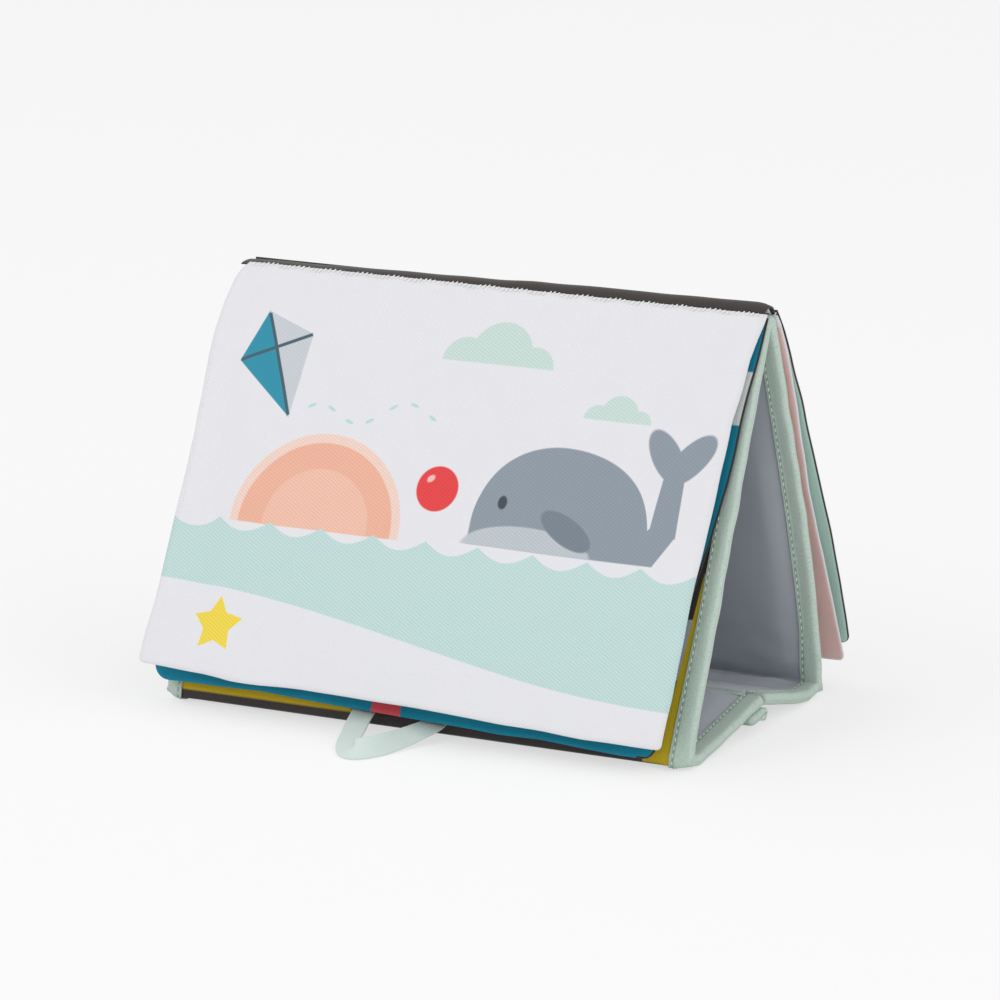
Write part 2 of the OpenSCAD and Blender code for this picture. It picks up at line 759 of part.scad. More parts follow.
module whale_body() {
    polygon([for (i = [0:40]) let (t = 180 * i / 40)
        [whale_l / 2 * cos(t) * (t < 90 ? 1 : 0.86), whale_h * pow(sin(t), 0.7)]]);
    polygon([[whale_l * 0.33, 0], [whale_l * 0.5, whale_h * 0.35], [whale_l * 0.52, whale_h * 0.82],
             [whale_l * 0.63, whale_h * 0.82], [whale_l * 0.64, whale_h * 0.3], [whale_l * 0.55, 0]]);
    translate([whale_l * 0.58, whale_h * 0.86]) for (s = [-1, 1]) rotate(s * 38)
        translate([0, whale_h * 0.2]) polygon(oval(whale_h * 0.14, whale_h * 0.3));
}

// The whale's fin and eye, in the darker grey.
module whale_fin() {
    translate([whale_l * 0.07, whale_h * 0.23]) rotate(-28) polygon(oval(whale_l * 0.155, whale_h * 0.125));
    translate([-whale_l * 0.28, whale_h * 0.42]) circle(r = whale_h * 0.05, $fn = 24);
}

module print_whale() {
    color(whale_grey) on_cover() translate([whale_x, whale_z]) difference() {
        whale_body();
        whale_fin();
    }
}

module print_fin() {
    color(fin_grey) on_cover() translate([whale_x, whale_z]) whale_fin();
}

// A kite with a long tail.
module print_kite() {
    color(teal) on_cover() translate([kite_x, -kite_drop]) rotate(24)
        polygon([[0, kite_h * 0.42], [kite_h * 0.36, kite_h * 0.08], [0, -kite_h * 0.58],
                 [-kite_h * 0.36, kite_h * 0.08]]);
}

module print_lines() {
    step = kite_h * 0.096;
    tail = [for (i = [0:14]) [kite_x + kite_h * 0.3 + i * step,
                              -kite_drop - kite_h * 0.5 + step * sin(i * 42) + i * step * 0.11]];
    color(fin_grey) on_cover() for (i = [1:2:13]) {
        d = tail[i] - tail[i - 1];
        translate(tail[i - 1]) rotate(atan2(d[1], d[0])) translate([0, -step * 0.15])
            square([step * 0.9, step * 0.3]);
    }
}

module print_star() {
    color(yellow) on_cover() translate([star_x, cover_low + star_rise])
        polygon([for (i = [0:9]) let (r = i % 2 == 0 ? star_r : star_r * 0.55)
            [r * sin(36 * i), r * cos(36 * i)]]);
}

module print_ball() {
    color(red) on_cover() translate([ball_x, cover_low + sea_level + ball_rise])
        circle(r = ball_r, $fn = 48);
}

front_wall_cloth();
rear_wall_cloth();
front_flap_cloth();
rear_flap_cloth();
lining();
front_wall_board();
rear_wall_board();
front_flap_board();
rear_flap_board();
right_binding();
left_binding();
front_flap_binding();
rear_flap_binding();
closure_lip();
hook_strip();
loop_strip();
binding_tail();
pull_loop();
ridge_seam();
spine_strip();
front_leaf_face();
front_leaf_back();
rear_leaf_face();
rear_leaf_back();
front_cover_face();
front_cover_back();
rear_cover_face();
rear_cover_back();
wall_yellow();
wall_lavender();
leaf_coral();
leaf_white();
print_sea();
print_sun();
print_clouds();
print_whale();
print_fin();
print_kite();
print_lines();
print_star();
print_ball();
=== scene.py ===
# A fold-out cloth baby book that stands as a tent: its looks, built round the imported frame.
import json
import math
import bpy
import numpy as np
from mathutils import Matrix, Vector


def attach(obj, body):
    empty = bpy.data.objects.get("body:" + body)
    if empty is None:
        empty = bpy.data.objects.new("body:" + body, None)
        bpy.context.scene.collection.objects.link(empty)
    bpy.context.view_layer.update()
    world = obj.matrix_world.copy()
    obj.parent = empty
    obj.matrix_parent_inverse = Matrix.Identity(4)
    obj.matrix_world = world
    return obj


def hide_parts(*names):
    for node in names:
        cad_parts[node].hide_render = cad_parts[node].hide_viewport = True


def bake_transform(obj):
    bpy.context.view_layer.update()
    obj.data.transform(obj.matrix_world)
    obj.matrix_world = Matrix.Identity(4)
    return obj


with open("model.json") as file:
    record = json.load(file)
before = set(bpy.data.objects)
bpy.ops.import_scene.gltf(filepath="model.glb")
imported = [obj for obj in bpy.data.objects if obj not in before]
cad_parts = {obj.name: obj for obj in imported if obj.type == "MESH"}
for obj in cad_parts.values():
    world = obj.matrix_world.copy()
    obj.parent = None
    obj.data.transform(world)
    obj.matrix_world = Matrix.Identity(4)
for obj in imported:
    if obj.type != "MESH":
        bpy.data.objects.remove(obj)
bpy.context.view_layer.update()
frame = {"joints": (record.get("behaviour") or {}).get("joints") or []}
scene = bpy.context.scene
joints = {joint["name"]: joint for joint in frame["joints"]}

cameraView = {
    "azimuth": 27.28, "elevation": 13.56, "distance": 2.425, "lens": 212.75,
    "target": (0.00009, 0.02318, 0.08117),
}


def linked(name, data):
    piece = bpy.data.objects.new(name, data)
    scene.collection.objects.link(piece)
    return piece


def addCamera(view):
    turn, rise = math.radians(view["azimuth"]), math.radians(view["elevation"])
    back = Vector((math.sin(turn) * math.cos(rise), -math.cos(turn) * math.cos(rise), math.sin(rise)))
    data = bpy.data.cameras.new("camera")
    data.lens, data.sensor_width = view["lens"], 36
    data.clip_start, data.clip_end = 0.1, 40
    camera = linked("camera", data)
    camera.location = Vector(view["target"]) + back * view["distance"]
    camera.rotation_euler = (-back).to_track_quat("-Z", "Y").to_euler()
    scene.camera = camera


addCamera(cameraView)
print("camera set")

# Sizes of the tent in mm, as in the CAD source: y and z here are measured from the ridge's own
# line, with the front at -y, and place() moves them to the frame.
tent = {
    "halfWidth": 120, "ridgeHeight": 172.2, "frontReach": 73.9, "rearReach": 54.8,
    "frontFoot": 11, "rearFoot": 14, "frontBend": 3, "rearBend": 4.2, "ridgeBend": 2.6, "liftBend": 12,
    "frontFlapEnd": 6, "frontFlapRise": 10.2, "flapJoint": 1.2, "rearFlapRise": 10.4,
    "rearBow": 3.6, "leftFootRoll": 3.4, "rightFootRoll": 1.8, "rearFootRoll": 2.2,
    "frontCorner": 0.45, "rearCorner": 0.85,
    "board": 2.2, "cloth": 0.7, "tape": 0.5, "tapeWidth": 9, "gap": 0.3,
}
skin = tent["board"] / 2 + tent["cloth"]  # half thickness of a wall without its tape
bound = skin + tent["tape"]
footZ = bound
ridge = np.array([0, tent["ridgeHeight"]])
frontFold = np.array([-tent["frontReach"], footZ])
rearFold = np.array([tent["rearReach"], footZ])
frontLift = frontFold + [tent["frontFoot"], 0]
rearLift = rearFold - [tent["rearFoot"], 0]
frontEnd = np.array([-tent["frontFlapEnd"], footZ + tent["frontFlapRise"]])
rearEnd = np.array([-tent["frontFlapEnd"] + 2 * tent["tape"] + tent["flapJoint"], footZ + tent["rearFlapRise"]])
frontLean = math.atan(tent["frontReach"] / (tent["ridgeHeight"] - footZ))
rearLean = math.atan(tent["rearReach"] / (tent["ridgeHeight"] - footZ))


def unit(v):
    return v / np.linalg.norm(v)


def leftOf(v):
    return np.array([-v[1], v[0]])


# Distances along a line of points from its start.
def runAlong(points):
    return np.concatenate([[0], np.cumsum(np.linalg.norm(np.diff(points, axis=0), axis=1))])


# Unit directions along a line of points.
def headings(points):
    ahead = np.gradient(points, axis=0)
    return ahead / np.linalg.norm(ahead, axis=1, keepdims=True)


# Points and outward normals round one fold of the strip.
def foldPlaces(a, p, b, radius, steps=16):
    u, w = unit(p - a), unit(b - p)
    angle = math.atan2(u[0] * w[1] - u[1] * w[0], u @ w)
    side = math.copysign(1, angle)
    start = p - u * radius * math.tan(abs(angle) / 2)
    centre = start + leftOf(u) * radius * side
    spoke = start - centre
    places = []
    for i in range(steps + 1):
        c, s = math.cos(angle * i / steps), math.sin(angle * i / steps)
        turned = np.array([spoke[0] * c - spoke[1] * s, spoke[0] * s + spoke[1] * c])
        places.append((centre + turned, unit(turned) * -side))
    return places


stripFolds = [
    foldPlaces(frontEnd, frontLift, frontFold, tent["liftBend"]),
    foldPlaces(frontLift, frontFold, ridge, tent["frontBend"]),
    foldPlaces(frontFold, ridge, rearFold, tent["ridgeBend"]),
    foldPlaces(ridge, rearFold, rearLift, tent["rearBend"]),
    foldPlaces(rearFold, rearLift, rearEnd, tent["liftBend"]),
]
stripPlaces = [(frontEnd, leftOf(unit(frontLift - frontEnd)))] + sum(stripFolds, [])
stripPlaces.append((rearEnd, leftOf(unit(rearEnd - rearLift))))
stripPoints = np.array([p for p, n in stripPlaces])
stripNormals = np.array([n for p, n in stripPlaces])
stripRun = runAlong(stripPoints)
stripLength = stripRun[-1]
foldStarts = [1 + len(stripFolds[0]) * k for k in range(5)]
foldRuns = [stripRun[i + 8] for i in foldStarts]  # the middle of each fold
foldSpans = [(stripRun[i], stripRun[i + 16]) for i in foldStarts]


# Point and normal of the strip's middle at distances along it.
def stripAt(run):
    points = np.stack([np.interp(run, stripRun, stripPoints[:, k]) for k in (0, 1)], -1)
    normals = np.stack([np.interp(run, stripRun, stripNormals[:, k]) for k in (0, 1)], -1)
    normals = normals / np.linalg.norm(normals, axis=-1, keepdims=True)
    return points, normals


# How far the strip's edges stand out from its flat line: the rear wall's edges bow outwards, and
# the corners of both feet roll up, the front left one most.
def edgeRoll(run, x):
    down = np.clip((run - foldSpans[2][1]) / (foldSpans[3][0] - foldSpans[2][1]), 0, 1)
    bow = tent["rearBow"] * np.sin(math.pi * down ** 1.25) ** 1.1 * smooth((np.abs(x) - 104) / 12)
    foot = np.exp(-((run - foldRuns[1]) / 7) ** 2) * smooth((np.abs(x) - 111) / 9)
    rear = np.exp(-((run - foldRuns[3] - 2) / 12) ** 2) * smooth((np.abs(x) - 104) / 15)
    return bow - foot * np.where(x < 0, tent["leftFootRoll"], tent["rightFootRoll"]) - tent["rearFootRoll"] * rear


# A folded foot comes to more of a corner on its outside than the bend of its inside.
def corner(run):
    push = 0
    for fold, bend, sharp in ((1, tent["frontBend"], tent["frontCorner"]), (3, tent["rearBend"], tent["rearCorner"])):
        start, end = foldSpans[fold]
        half = (end - start) / bend / 2
        off = np.clip(np.abs(run - (start + end) / 2) / (end - start) * 2, 0, 1) * half
        push = push + sharp * (bend + bound) * (1 / np.cos(half - off) - 1)
    return push


# 1 on the flats of the strip and 0 on its folds.
def flatness(run, ease=9):
    value = np.ones_like(run)
    for low, high in foldSpans:
        away = np.maximum(np.maximum(low - run, run - high), 0)
        value = np.minimum(value, smooth(away / ease))
    return value


def smooth(t):
    t = np.clip(t, 0, 1)
    return t * t * (3 - 2 * t)


# Soft waves of cloth about 1 high: crossing sines of lengths round wave mm.
def ripple(u, v, seed, wave, count=7, stretch=1.0):
    rng = np.random.default_rng(seed)
    total = 0
    for i in range(count):
        turn, phase = rng.uniform(0, 2 * math.pi, 2)
        pitch = 2 * math.pi / (wave * rng.uniform(0.6, 1.7))
        total = total + np.sin((u * math.cos(turn) + v * stretch * math.sin(turn)) * pitch + phase)
    return total / math.sqrt(count)


hingeAt = joints["front_cover_hinge"]["pos_m"]
frontDown, rearDown = unit(frontFold - ridge), unit(rearFold - ridge)
frontOut, rearOut = leftOf(-frontDown), leftOf(rearDown)
cover = {"thick": 2.2, "leaf": 1.8, "hingeDrop": 3.7, "leafDrop": 7.5}
leafOff = bound + tent["gap"] + cover["leaf"] / 2
hingeOff = bound + 2 * tent["gap"] + cover["leaf"] + cover["thick"] / 2
frontHinge = ridge + frontDown * cover["hingeDrop"] + frontOut * hingeOff
rearHinge = ridge + rearDown * cover["hingeDrop"] + rearOut * hingeOff
frontLeafTop = ridge + frontDown * cover["leafDrop"] + frontOut * leafOff
rearLeafTop = ridge + rearDown * cover["leafDrop"] + rearOut * leafOff
shift = np.array([hingeAt[0] * 1000, hingeAt[1] * 1000 - frontHinge[0], 0])


# From the ridge's mm to the frame's metres.
def place(points):
    return (np.asarray(points, float) + shift) * 0.001


def withX(x, points):
    return np.concatenate([np.broadcast_to(np.asarray(x, float)[..., None], (*points.shape[:-1], 1)), points], -1)


# The cloth's own mm at each point: two ways along it, and how far its nearest hem lies.
def flatAt(u, v, hem=6.0):
    return np.stack(np.broadcast_arrays(u, v, hem), -1)


# A mesh with its faces outwards. flat goes into the attribute that the cloth materials read.
def meshFrom(name, verts, faces, flat, marks=None):
    verts, faces = np.asarray(verts, float), [tuple(f) for f in faces]
    tris = np.array([(f[0], f[i], f[i + 1]) for f in faces for i in range(1, len(f) - 1)])
    a, b, c = (verts[tris[:, k]] for k in range(3))
    if np.einsum("ij,ij->i", a, np.cross(b, c)).sum() < 0:
        faces = [f[::-1] for f in faces]
    mesh = bpy.data.meshes.new(name)
    mesh.from_pydata(verts.tolist(), [], faces)
    flatMm = mesh.attributes.new("flatMm", "FLOAT_VECTOR", "POINT")
    flatMm.data.foreach_set("vector", np.asarray(flat, np.float32).ravel())
    mesh.polygons.foreach_set("use_smooth", [True] * len(faces))
    if marks is not None:
        mesh.polygons.foreach_set("material_index", marks)
    mesh.update()
    return linked(name, mesh)


def gridFaces(rows, cols, start=0, flip=False):
    faces = []
    for i in range(rows - 1):
        for j in range(cols - 1):
            a = start + i * cols + j
            quad = (a, a + 1, a + cols + 1, a + cols)
            faces.append(quad[::-1] if flip else quad)
    return faces


# Two grids of rows x columns x 3, closed by a rim. The back takes the front's material where the
# cloth is turned over: above topBand, and within edgeBand of its hem.
def shell(name, outer, inner, flat, backMark=0, rimMark=0, topBand=1e9, edgeBand=0):
    rows, cols = outer.shape[:2]
    count = rows * cols
    front, back = gridFaces(rows, cols), gridFaces(rows, cols, count, True)
    edge = list(range(cols)) + [i * cols + cols - 1 for i in range(1, rows)]
    edge += [(rows - 1) * cols + j for j in range(cols - 2, -1, -1)]
    edge += [i * cols for i in range(rows - 2, 0, -1)]
    rim = [(b, a, a + count, b + count) for a, b in zip(edge, edge[1:] + edge[:1])]
    verts = np.concatenate([outer.reshape(-1, 3), inner.reshape(-1, 3)])
    spots = flat.reshape(-1, 3)[[f[0] - count for f in back]]
    turnedOver = (spots[:, 1] > topBand) | (spots[:, 2] < edgeBand)
    marks = [0] * len(front) + [0 if over else backMark for over in turnedOver] + [rimMark] * len(rim)
    return meshFrom(name, verts, front + back + rim, np.concatenate([flat.reshape(-1, 3)] * 2), marks)


# A closed tube of rings, with a middle point on each end.
def tube(name, rings, flat):
    count, around = rings.shape[:2]
    faces = []
    for i in range(count - 1):
        for j in range(around):
            k = (j + 1) % around
            faces.append((i * around + j, i * around + k, (i + 1) * around + k, (i + 1) * around + j))
    verts = np.concatenate([rings.reshape(-1, 3), rings[:1].mean(1), rings[-1:].mean(1)])
    last, mid = (count - 1) * around, count * around
    for j in range(around):
        k = (j + 1) % around
        faces += [(k, j, mid), (last + j, last + k, mid + 1)]
    flats = np.concatenate([flat.reshape(-1, 3), flat[:1].mean(1), flat[-1:].mean(1)])
    return meshFrom(name, verts, faces, flats)


def finishPiece(piece, materials, slotName, *nodes):
    for material in materials:
        piece.data.materials.append(material)
    if nodes:
        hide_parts(*nodes)


# A piece of one material that stays with the tent.
def rootPiece(piece, material, slotName, *nodes):
    finishPiece(piece, [material], slotName, *nodes)
    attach(piece, "root")


def srgb(text):
    parts = [int(text[i:i + 2], 16) / 255 for i in (1, 3, 5)]
    return [c / 12.92 if c <= 0.04045 else ((c + 0.055) / 1.055) ** 2.4 for c in parts] + [1.0]


def addNode(tree, kind, inputs=None, **settings):
    node = tree.nodes.new(kind)
    for key, value in settings.items():
        setattr(node, key, value)
    for key, value in (inputs or {}).items():
        if isinstance(value, bpy.types.NodeSocket):
            tree.links.new(value, node.inputs[key])
        else:
            node.inputs[key].default_value = value
    return node


def emptyTree(owner):
    owner.use_nodes = True
    owner.node_tree.nodes.clear()
    return owner.node_tree


# The first output of a new node.
def made(tree, kind, inputs=None, **settings):
    return addNode(tree, kind, inputs, **settings).outputs[0]


# Masks on the cloth's own mm: 1 inside and 0 outside, with a slightly soft edge as ink has.
def ellipse(tree, spot, centre, radii, turn=0, soft=0.3):
    near = addNode(tree, "ShaderNodeMapping", {
        "Vector": spot, "Location": (centre[0], centre[1], 0), "Rotation": (0, 0, math.radians(turn)),
        "Scale": (radii[0], radii[1], 1)}, vector_type="TEXTURE")
    away = addNode(tree, "ShaderNodeVectorMath", {0: near.outputs[0]}, operation="LENGTH").outputs["Value"]
    return under(tree, away, 1, soft / min(radii))


def under(tree, value, limit, soft=0.3):
    return made(tree, "ShaderNodeMapRange", {"Value": value, "From Min": limit + soft, "From Max": limit - soft})


def over(tree, value, limit, soft=0.3):
    return made(tree, "ShaderNodeMapRange", {"Value": value, "From Min": limit - soft, "From Max": limit + soft})


def maths(tree, operation, *values):
    result = values[0]
    if len(values) == 1:
        return made(tree, "ShaderNodeMath", {0: result}, operation=operation)
    for value in values[1:]:
        result = made(tree, "ShaderNodeMath", {0: result, 1: value}, operation=operation)
    return result


def timesPlus(tree, a, b, c):
    return made(tree, "ShaderNodeMath", {0: a, 1: b, 2: c}, operation="MULTIPLY_ADD")


def across(tree, spot, direction):
    dot = addNode(tree, "ShaderNodeVectorMath", {0: spot, 1: (*direction, 0)}, operation="DOT_PRODUCT")
    return dot.outputs["Value"]


def field(tree, spot, low, high):
    x, y = across(tree, spot, (1, 0)), across(tree, spot, (0, 1))
    return maths(tree, "MINIMUM", over(tree, x, low[0]), under(tree, x, high[0]),
                 over(tree, y, low[1]), under(tree, y, high[1]))


def lay(tree, ground, colour, mask):
    return addNode(tree, "ShaderNodeMix", {0: mask, 6: ground, 7: srgb(colour)}, data_type="RGBA").outputs[2]


# A woven cloth of one colour, or of the colour and ink that paint(tree, spot, inset) gives it.
def wovenCloth(name, paint, thread=0.9, contrast=0.06, inkContrast=0.24, bump=0.3, rough=0.74, sheen=0.15,
               mottle=0.035):
    material = bpy.data.materials.new(name)
    tree = emptyTree(material)
    place3 = addNode(tree, "ShaderNodeAttribute", attribute_name="flatMm").outputs["Vector"]
    spot = made(tree, "ShaderNodeVectorMath", {0: place3, 1: (1, 1, 0)}, operation="MULTIPLY")
    if isinstance(paint, str):
        colour, ink = srgb(paint), 0.5
    else:
        colour, ink = paint(tree, spot, hemDistance(tree, place3))
    # Warp and weft, drawn about twice as coarse as real thread, so that they show at this size.
    turned = addNode(tree, "ShaderNodeMapping", {"Vector": spot, "Rotation": (0, 0, math.radians(31))})
    bands = [addNode(tree, "ShaderNodeTexWave", {
        "Vector": turned.outputs[0], "Scale": 0.314 / pitch, "Distortion": 0.6, "Detail": 1.0},
        bands_direction=way).outputs["Fac"] for pitch, way in ((thread, "X"), (thread * 1.35, "Y"))]
    weave = maths(tree, "MULTIPLY", *bands)
    slub = addNode(tree, "ShaderNodeTexNoise", {
        "Vector": spot, "Scale": 1 / 14, "Detail": 3.0, "Roughness": 0.6}).outputs["Fac"]
    fibre = addNode(tree, "ShaderNodeTexNoise", {"Vector": spot, "Scale": 1 / 0.7, "Detail": 2.0}).outputs["Fac"]
    depth = timesPlus(tree, ink, inkContrast - contrast, contrast)
    shade = maths(tree, "MULTIPLY", maths(tree, "SUBTRACT", weave, 0.3), depth)
    tone = timesPlus(tree, maths(tree, "SUBTRACT", slub, 0.5), mottle, shade)
    # The colour is a little darker towards the turned hem, by up to 5% within 2.6 mm of it.
    hem = made(tree, "ShaderNodeMapRange", {
        "Value": hemDistance(tree, place3), "From Min": 0.0, "From Max": 2.6, "To Min": -0.05, "To Max": 0.0})
    light = maths(tree, "ADD", 1.0, tone, hem)
    final = addNode(tree, "ShaderNodeMix", {0: 1.0, 6: colour, 7: light}, data_type="RGBA", blend_type="MULTIPLY")
    height = timesPlus(tree, fibre, 0.5, weave)
    relief = made(tree, "ShaderNodeBump", {"Height": height, "Strength": bump, "Distance": 0.0001})
    gloss = made(tree, "ShaderNodeMapRange", {"Value": fibre, "To Min": rough - 0.06, "To Max": rough + 0.06})
    shader = addNode(tree, "ShaderNodeBsdfPrincipled", {
        "Base Color": final.outputs[2], "Roughness": gloss, "Normal": relief, "IOR": 1.46,
        "Sheen Weight": sheen, "Sheen Roughness": 0.5, "Specular IOR Level": 0.35})
    addNode(tree, "ShaderNodeOutputMaterial", {"Surface": shader.outputs[0]})
    return material


def hemDistance(tree, place3):
    return addNode(tree, "ShaderNodeSeparateXYZ", {0: place3}).outputs[2]


# Printed fields on the front wall: x along the ridge, y up from the fold at its foot.
wallPrint = {
    "left": ((-113, 1.9), (-32, 92)), "right": ((33.4, 2.2), (120, 14.3)), "corner": ((99, -0.2), (120, 9)),
    "lavender": ((0, 31.4), (112, 56.2)), "edge": 105.9, "lean": 0.079, "top": 75,
}


def paintWall(tree, spot, inset):
    p = wallPrint
    slope = across(tree, spot, (1, -p["lean"]))
    strip = maths(tree, "MINIMUM", over(tree, slope, p["edge"], 0.2), field(tree, spot, (100, 0), (130, p["top"])))
    yellow = maths(tree, "MAXIMUM", strip, *[field(tree, spot, *p[part]) for part in ("left", "right", "corner")])
    colour = lay(tree, srgb("#3d3836"), "#b9bed0", field(tree, spot, *p["lavender"]))
    return lay(tree, colour, "#d3b61e", yellow), 0.6


leafPrint = {
    "coral": ((-19.5, -180), (-6, -145)), "square": ((-90, -104), (-56, -70)),
    "white": ((76, -41), (121, -19)), "page": ((10, -130), (70, -70)),
}


def paintLeaf(tree, spot, inset):
    coral = maths(tree, "MAXIMUM", field(tree, spot, *leafPrint["coral"]), field(tree, spot, *leafPrint["square"]))
    white = maths(tree, "MAXIMUM", field(tree, spot, *leafPrint["white"]), field(tree, spot, *leafPrint["page"]))
    colour = lay(tree, lay(tree, srgb("#0786a4"), "#e04e5b", coral), "#ebebed", white)
    edge = maths(tree, "MINIMUM", under(tree, inset, 0.75, 0.15), over(tree, across(tree, spot, (1, 0)), 100))
    return lay(tree, colour, "#33302f", edge), 0.7


# Painted sheen: the satin's colour is made paler on the flaps, standing in for the light that its floats catch there.
def paintSatin(tree, spot, inset):
    y = across(tree, spot, (0, 1))
    flaps = maths(tree, "MAXIMUM", under(tree, y, -3, 5), over(tree, y, foldRuns[3] - foldRuns[1] + 2, 5))
    return lay(tree, srgb("#a9aeb6"), "#c6c9d2", flaps), 0.5


# Twill tape, with painted shade: a darker line where the stitches pull it in, on both faces, standing in for the shade
# in that groove.
def paintTape(tree, spot, inset):
    y = across(tree, spot, (0, 1))
    wear = addNode(tree, "ShaderNodeTexNoise", {"Vector": spot, "Scale": 0.9, "Detail": 2.0}).outputs["Fac"]
    colour = lay(tree, srgb("#c6d8cd"), "#bccec3", over(tree, wear, 0.54, 0.12))
    lines = maths(tree, "MAXIMUM", *[maths(tree, "MULTIPLY", over(tree, y, low, 0.35), under(tree, y, low + 1.0, 0.35))
                                     for low in (6.9, 26.9)])
    return lay(tree, colour, "#8fa598", lines), 0.5


whiteCloth = wovenCloth("white polyester cloth", "#ebebef")
tealCloth = wovenCloth("teal printed cloth", paintLeaf, inkContrast=0.12, sheen=0.05)
charcoalCloth = wovenCloth("charcoal cloth", "#3d3836")
wallCloth = wovenCloth("charcoal cloth with printed fields", paintWall, inkContrast=0.15)
mintCloth = wovenCloth("mint printed cloth", "#b9d8cd")
pinkCloth = wovenCloth("pink printed cloth", "#f4cbc6")
twill = {"thread": 0.75, "contrast": 0.1, "inkContrast": 0.1, "bump": 0.4, "sheen": 0.2}
tapeCloth = wovenCloth("mint twill tape", paintTape, **twill)
satin = wovenCloth("grey polyester satin", paintSatin, thread=0.7, contrast=0.03, inkContrast=0.03, bump=0.1,
                   rough=0.42, sheen=0.3, mottle=0.06)
boardFelt = wovenCloth("pressed grey board", "#b8b8b4", thread=1.6, contrast=0.04, rough=0.85)
closurePile = wovenCloth("closure tape pile", "#a9a9a5", thread=0.6, contrast=0.3, bump=0.8)
paleTape = wovenCloth("pale mint twill tape", "#dbe9e4", **twill)
threadWhite = wovenCloth("white sewing thread", "#f2f2f0", thread=0.4, contrast=0.1)
threadMint = wovenCloth("mint sewing thread", "#d6e4da", thread=0.4, contrast=0.1)
# The cover's picture, in the cloth's mm from the hinge line: x along the ridge, y down to -170.
coverPrint = {
    "low": -170, "left": -126, "right": 114.5, "sea": 62, "seaFloor": 20, "swell": 14, "wavePitch": 24, "wave": 5,
    "sun": (-58, -107.5, 39), "clouds": ((8, -32, 52), (66, -50, 31)), "whale": (48, -107, 84, 44),
    "kite": (-92, -38, 48, 24), "star": (-92, -153, 12), "ball": (-6, -86, 9.5),
}


def convex(tree, spot, points, centre=(0, 0), turn=0):
    points = [turned(p, turn) + centre for p in np.asarray(points, float)]
    masks = []
    for a, b in zip(points, points[1:] + points[:1]):
        out = unit(np.array([b[1] - a[1], a[0] - b[0]]))
        masks.append(under(tree, across(tree, spot, out), float(out @ a), 0.2))
    return maths(tree, "MINIMUM", *masks)


def turned(point, degrees):
    c, s = math.cos(math.radians(degrees)), math.sin(math.radians(degrees))
    return np.array([point[0] * c - point[1] * s, point[0] * s + point[1] * c])


def cloudMask(tree, spot, x, y, l):
    heaps = ((-0.28, 0, 0.2), (0.02, 0.08, 0.27), (0.32, 0, 0.17))
    heap = maths(tree, "MAXIMUM", *[ellipse(tree, spot, (x + a * l, y + b * l), (r * l, r * l)) for a, b, r in heaps])
    return maths(tree, "MINIMUM", heap, over(tree, across(tree, spot, (0, 1)), y))


def starMask(tree, spot, x, y, radius):
    near = made(tree, "ShaderNodeVectorMath", {0: spot, 1: (x, y, 0)}, operation="SUBTRACT")
    reach = addNode(tree, "ShaderNodeVectorMath", {0: near}, operation="LENGTH").outputs["Value"]
    angle = maths(tree, "ARCTAN2", across(tree, near, (1, 0)), across(tree, near, (0, 1)))
    folded = maths(tree, "PINGPONG", angle, math.pi / 5)
    notch = 0.55 * radius
    out = unit(np.array([notch * math.sin(math.pi / 5), radius - notch * math.cos(math.pi / 5)]))
    along = maths(tree, "MULTIPLY", maths(tree, "COSINE", folded), reach, out[0])
    side = maths(tree, "MULTIPLY", maths(tree, "SINE", folded), reach, out[1])
    return under(tree, maths(tree, "ADD", along, side), radius * out[0], 0.2)


def whaleMasks(tree, spot, x, y, l, h):
    near = made(tree, "ShaderNodeVectorMath", {0: spot, 1: (x, y, 0)}, operation="SUBTRACT")
    nearX, nearY = across(tree, near, (1, 0)), across(tree, near, (0, 1))
    reach = maths(tree, "MAXIMUM", *[maths(tree, "MULTIPLY", nearX, k / l) for k in (2, -2 / 0.86)])
    dome = maths(tree, "MAXIMUM", maths(tree, "SUBTRACT", 1.0, maths(tree, "MULTIPLY", reach, reach)), 0.0)
    back = maths(tree, "MULTIPLY", maths(tree, "POWER", dome, 0.35), h)
    above = over(tree, nearY, 0)
    within = under(tree, reach, 0.99, 0.01)
    body = maths(tree, "MINIMUM", over(tree, maths(tree, "SUBTRACT", back, nearY), 0.0), above, within)
    low = convex(tree, near, [(0.33 * l, 0), (0.55 * l, 0), (0.64 * l, 0.3 * h), (0.5 * l, 0.35 * h)])
    stalk = convex(tree, near, [(0.5 * l, 0.33 * h), (0.64 * l, 0.28 * h), (0.63 * l, 0.82 * h), (0.52 * l, 0.82 * h)])
    flukes = [ellipse(tree, near, (0.58 * l, 0.86 * h) + turned((0, 0.2 * h), a), (0.14 * h, 0.3 * h), a)
              for a in (38, -38)]
    body = maths(tree, "MAXIMUM", body, low, stalk, *flukes)
    belly = maths(tree, "MINIMUM", ellipse(tree, near, (-0.12 * l, -0.02 * h), (0.34 * l, 0.24 * h)), above)
    fin = ellipse(tree, near, (0.07 * l, 0.23 * h), (0.155 * l, 0.125 * h), -28)
    eye = ellipse(tree, near, (-0.28 * l, 0.42 * h), (0.045 * h, 0.065 * h))
    return body, belly, fin, eye


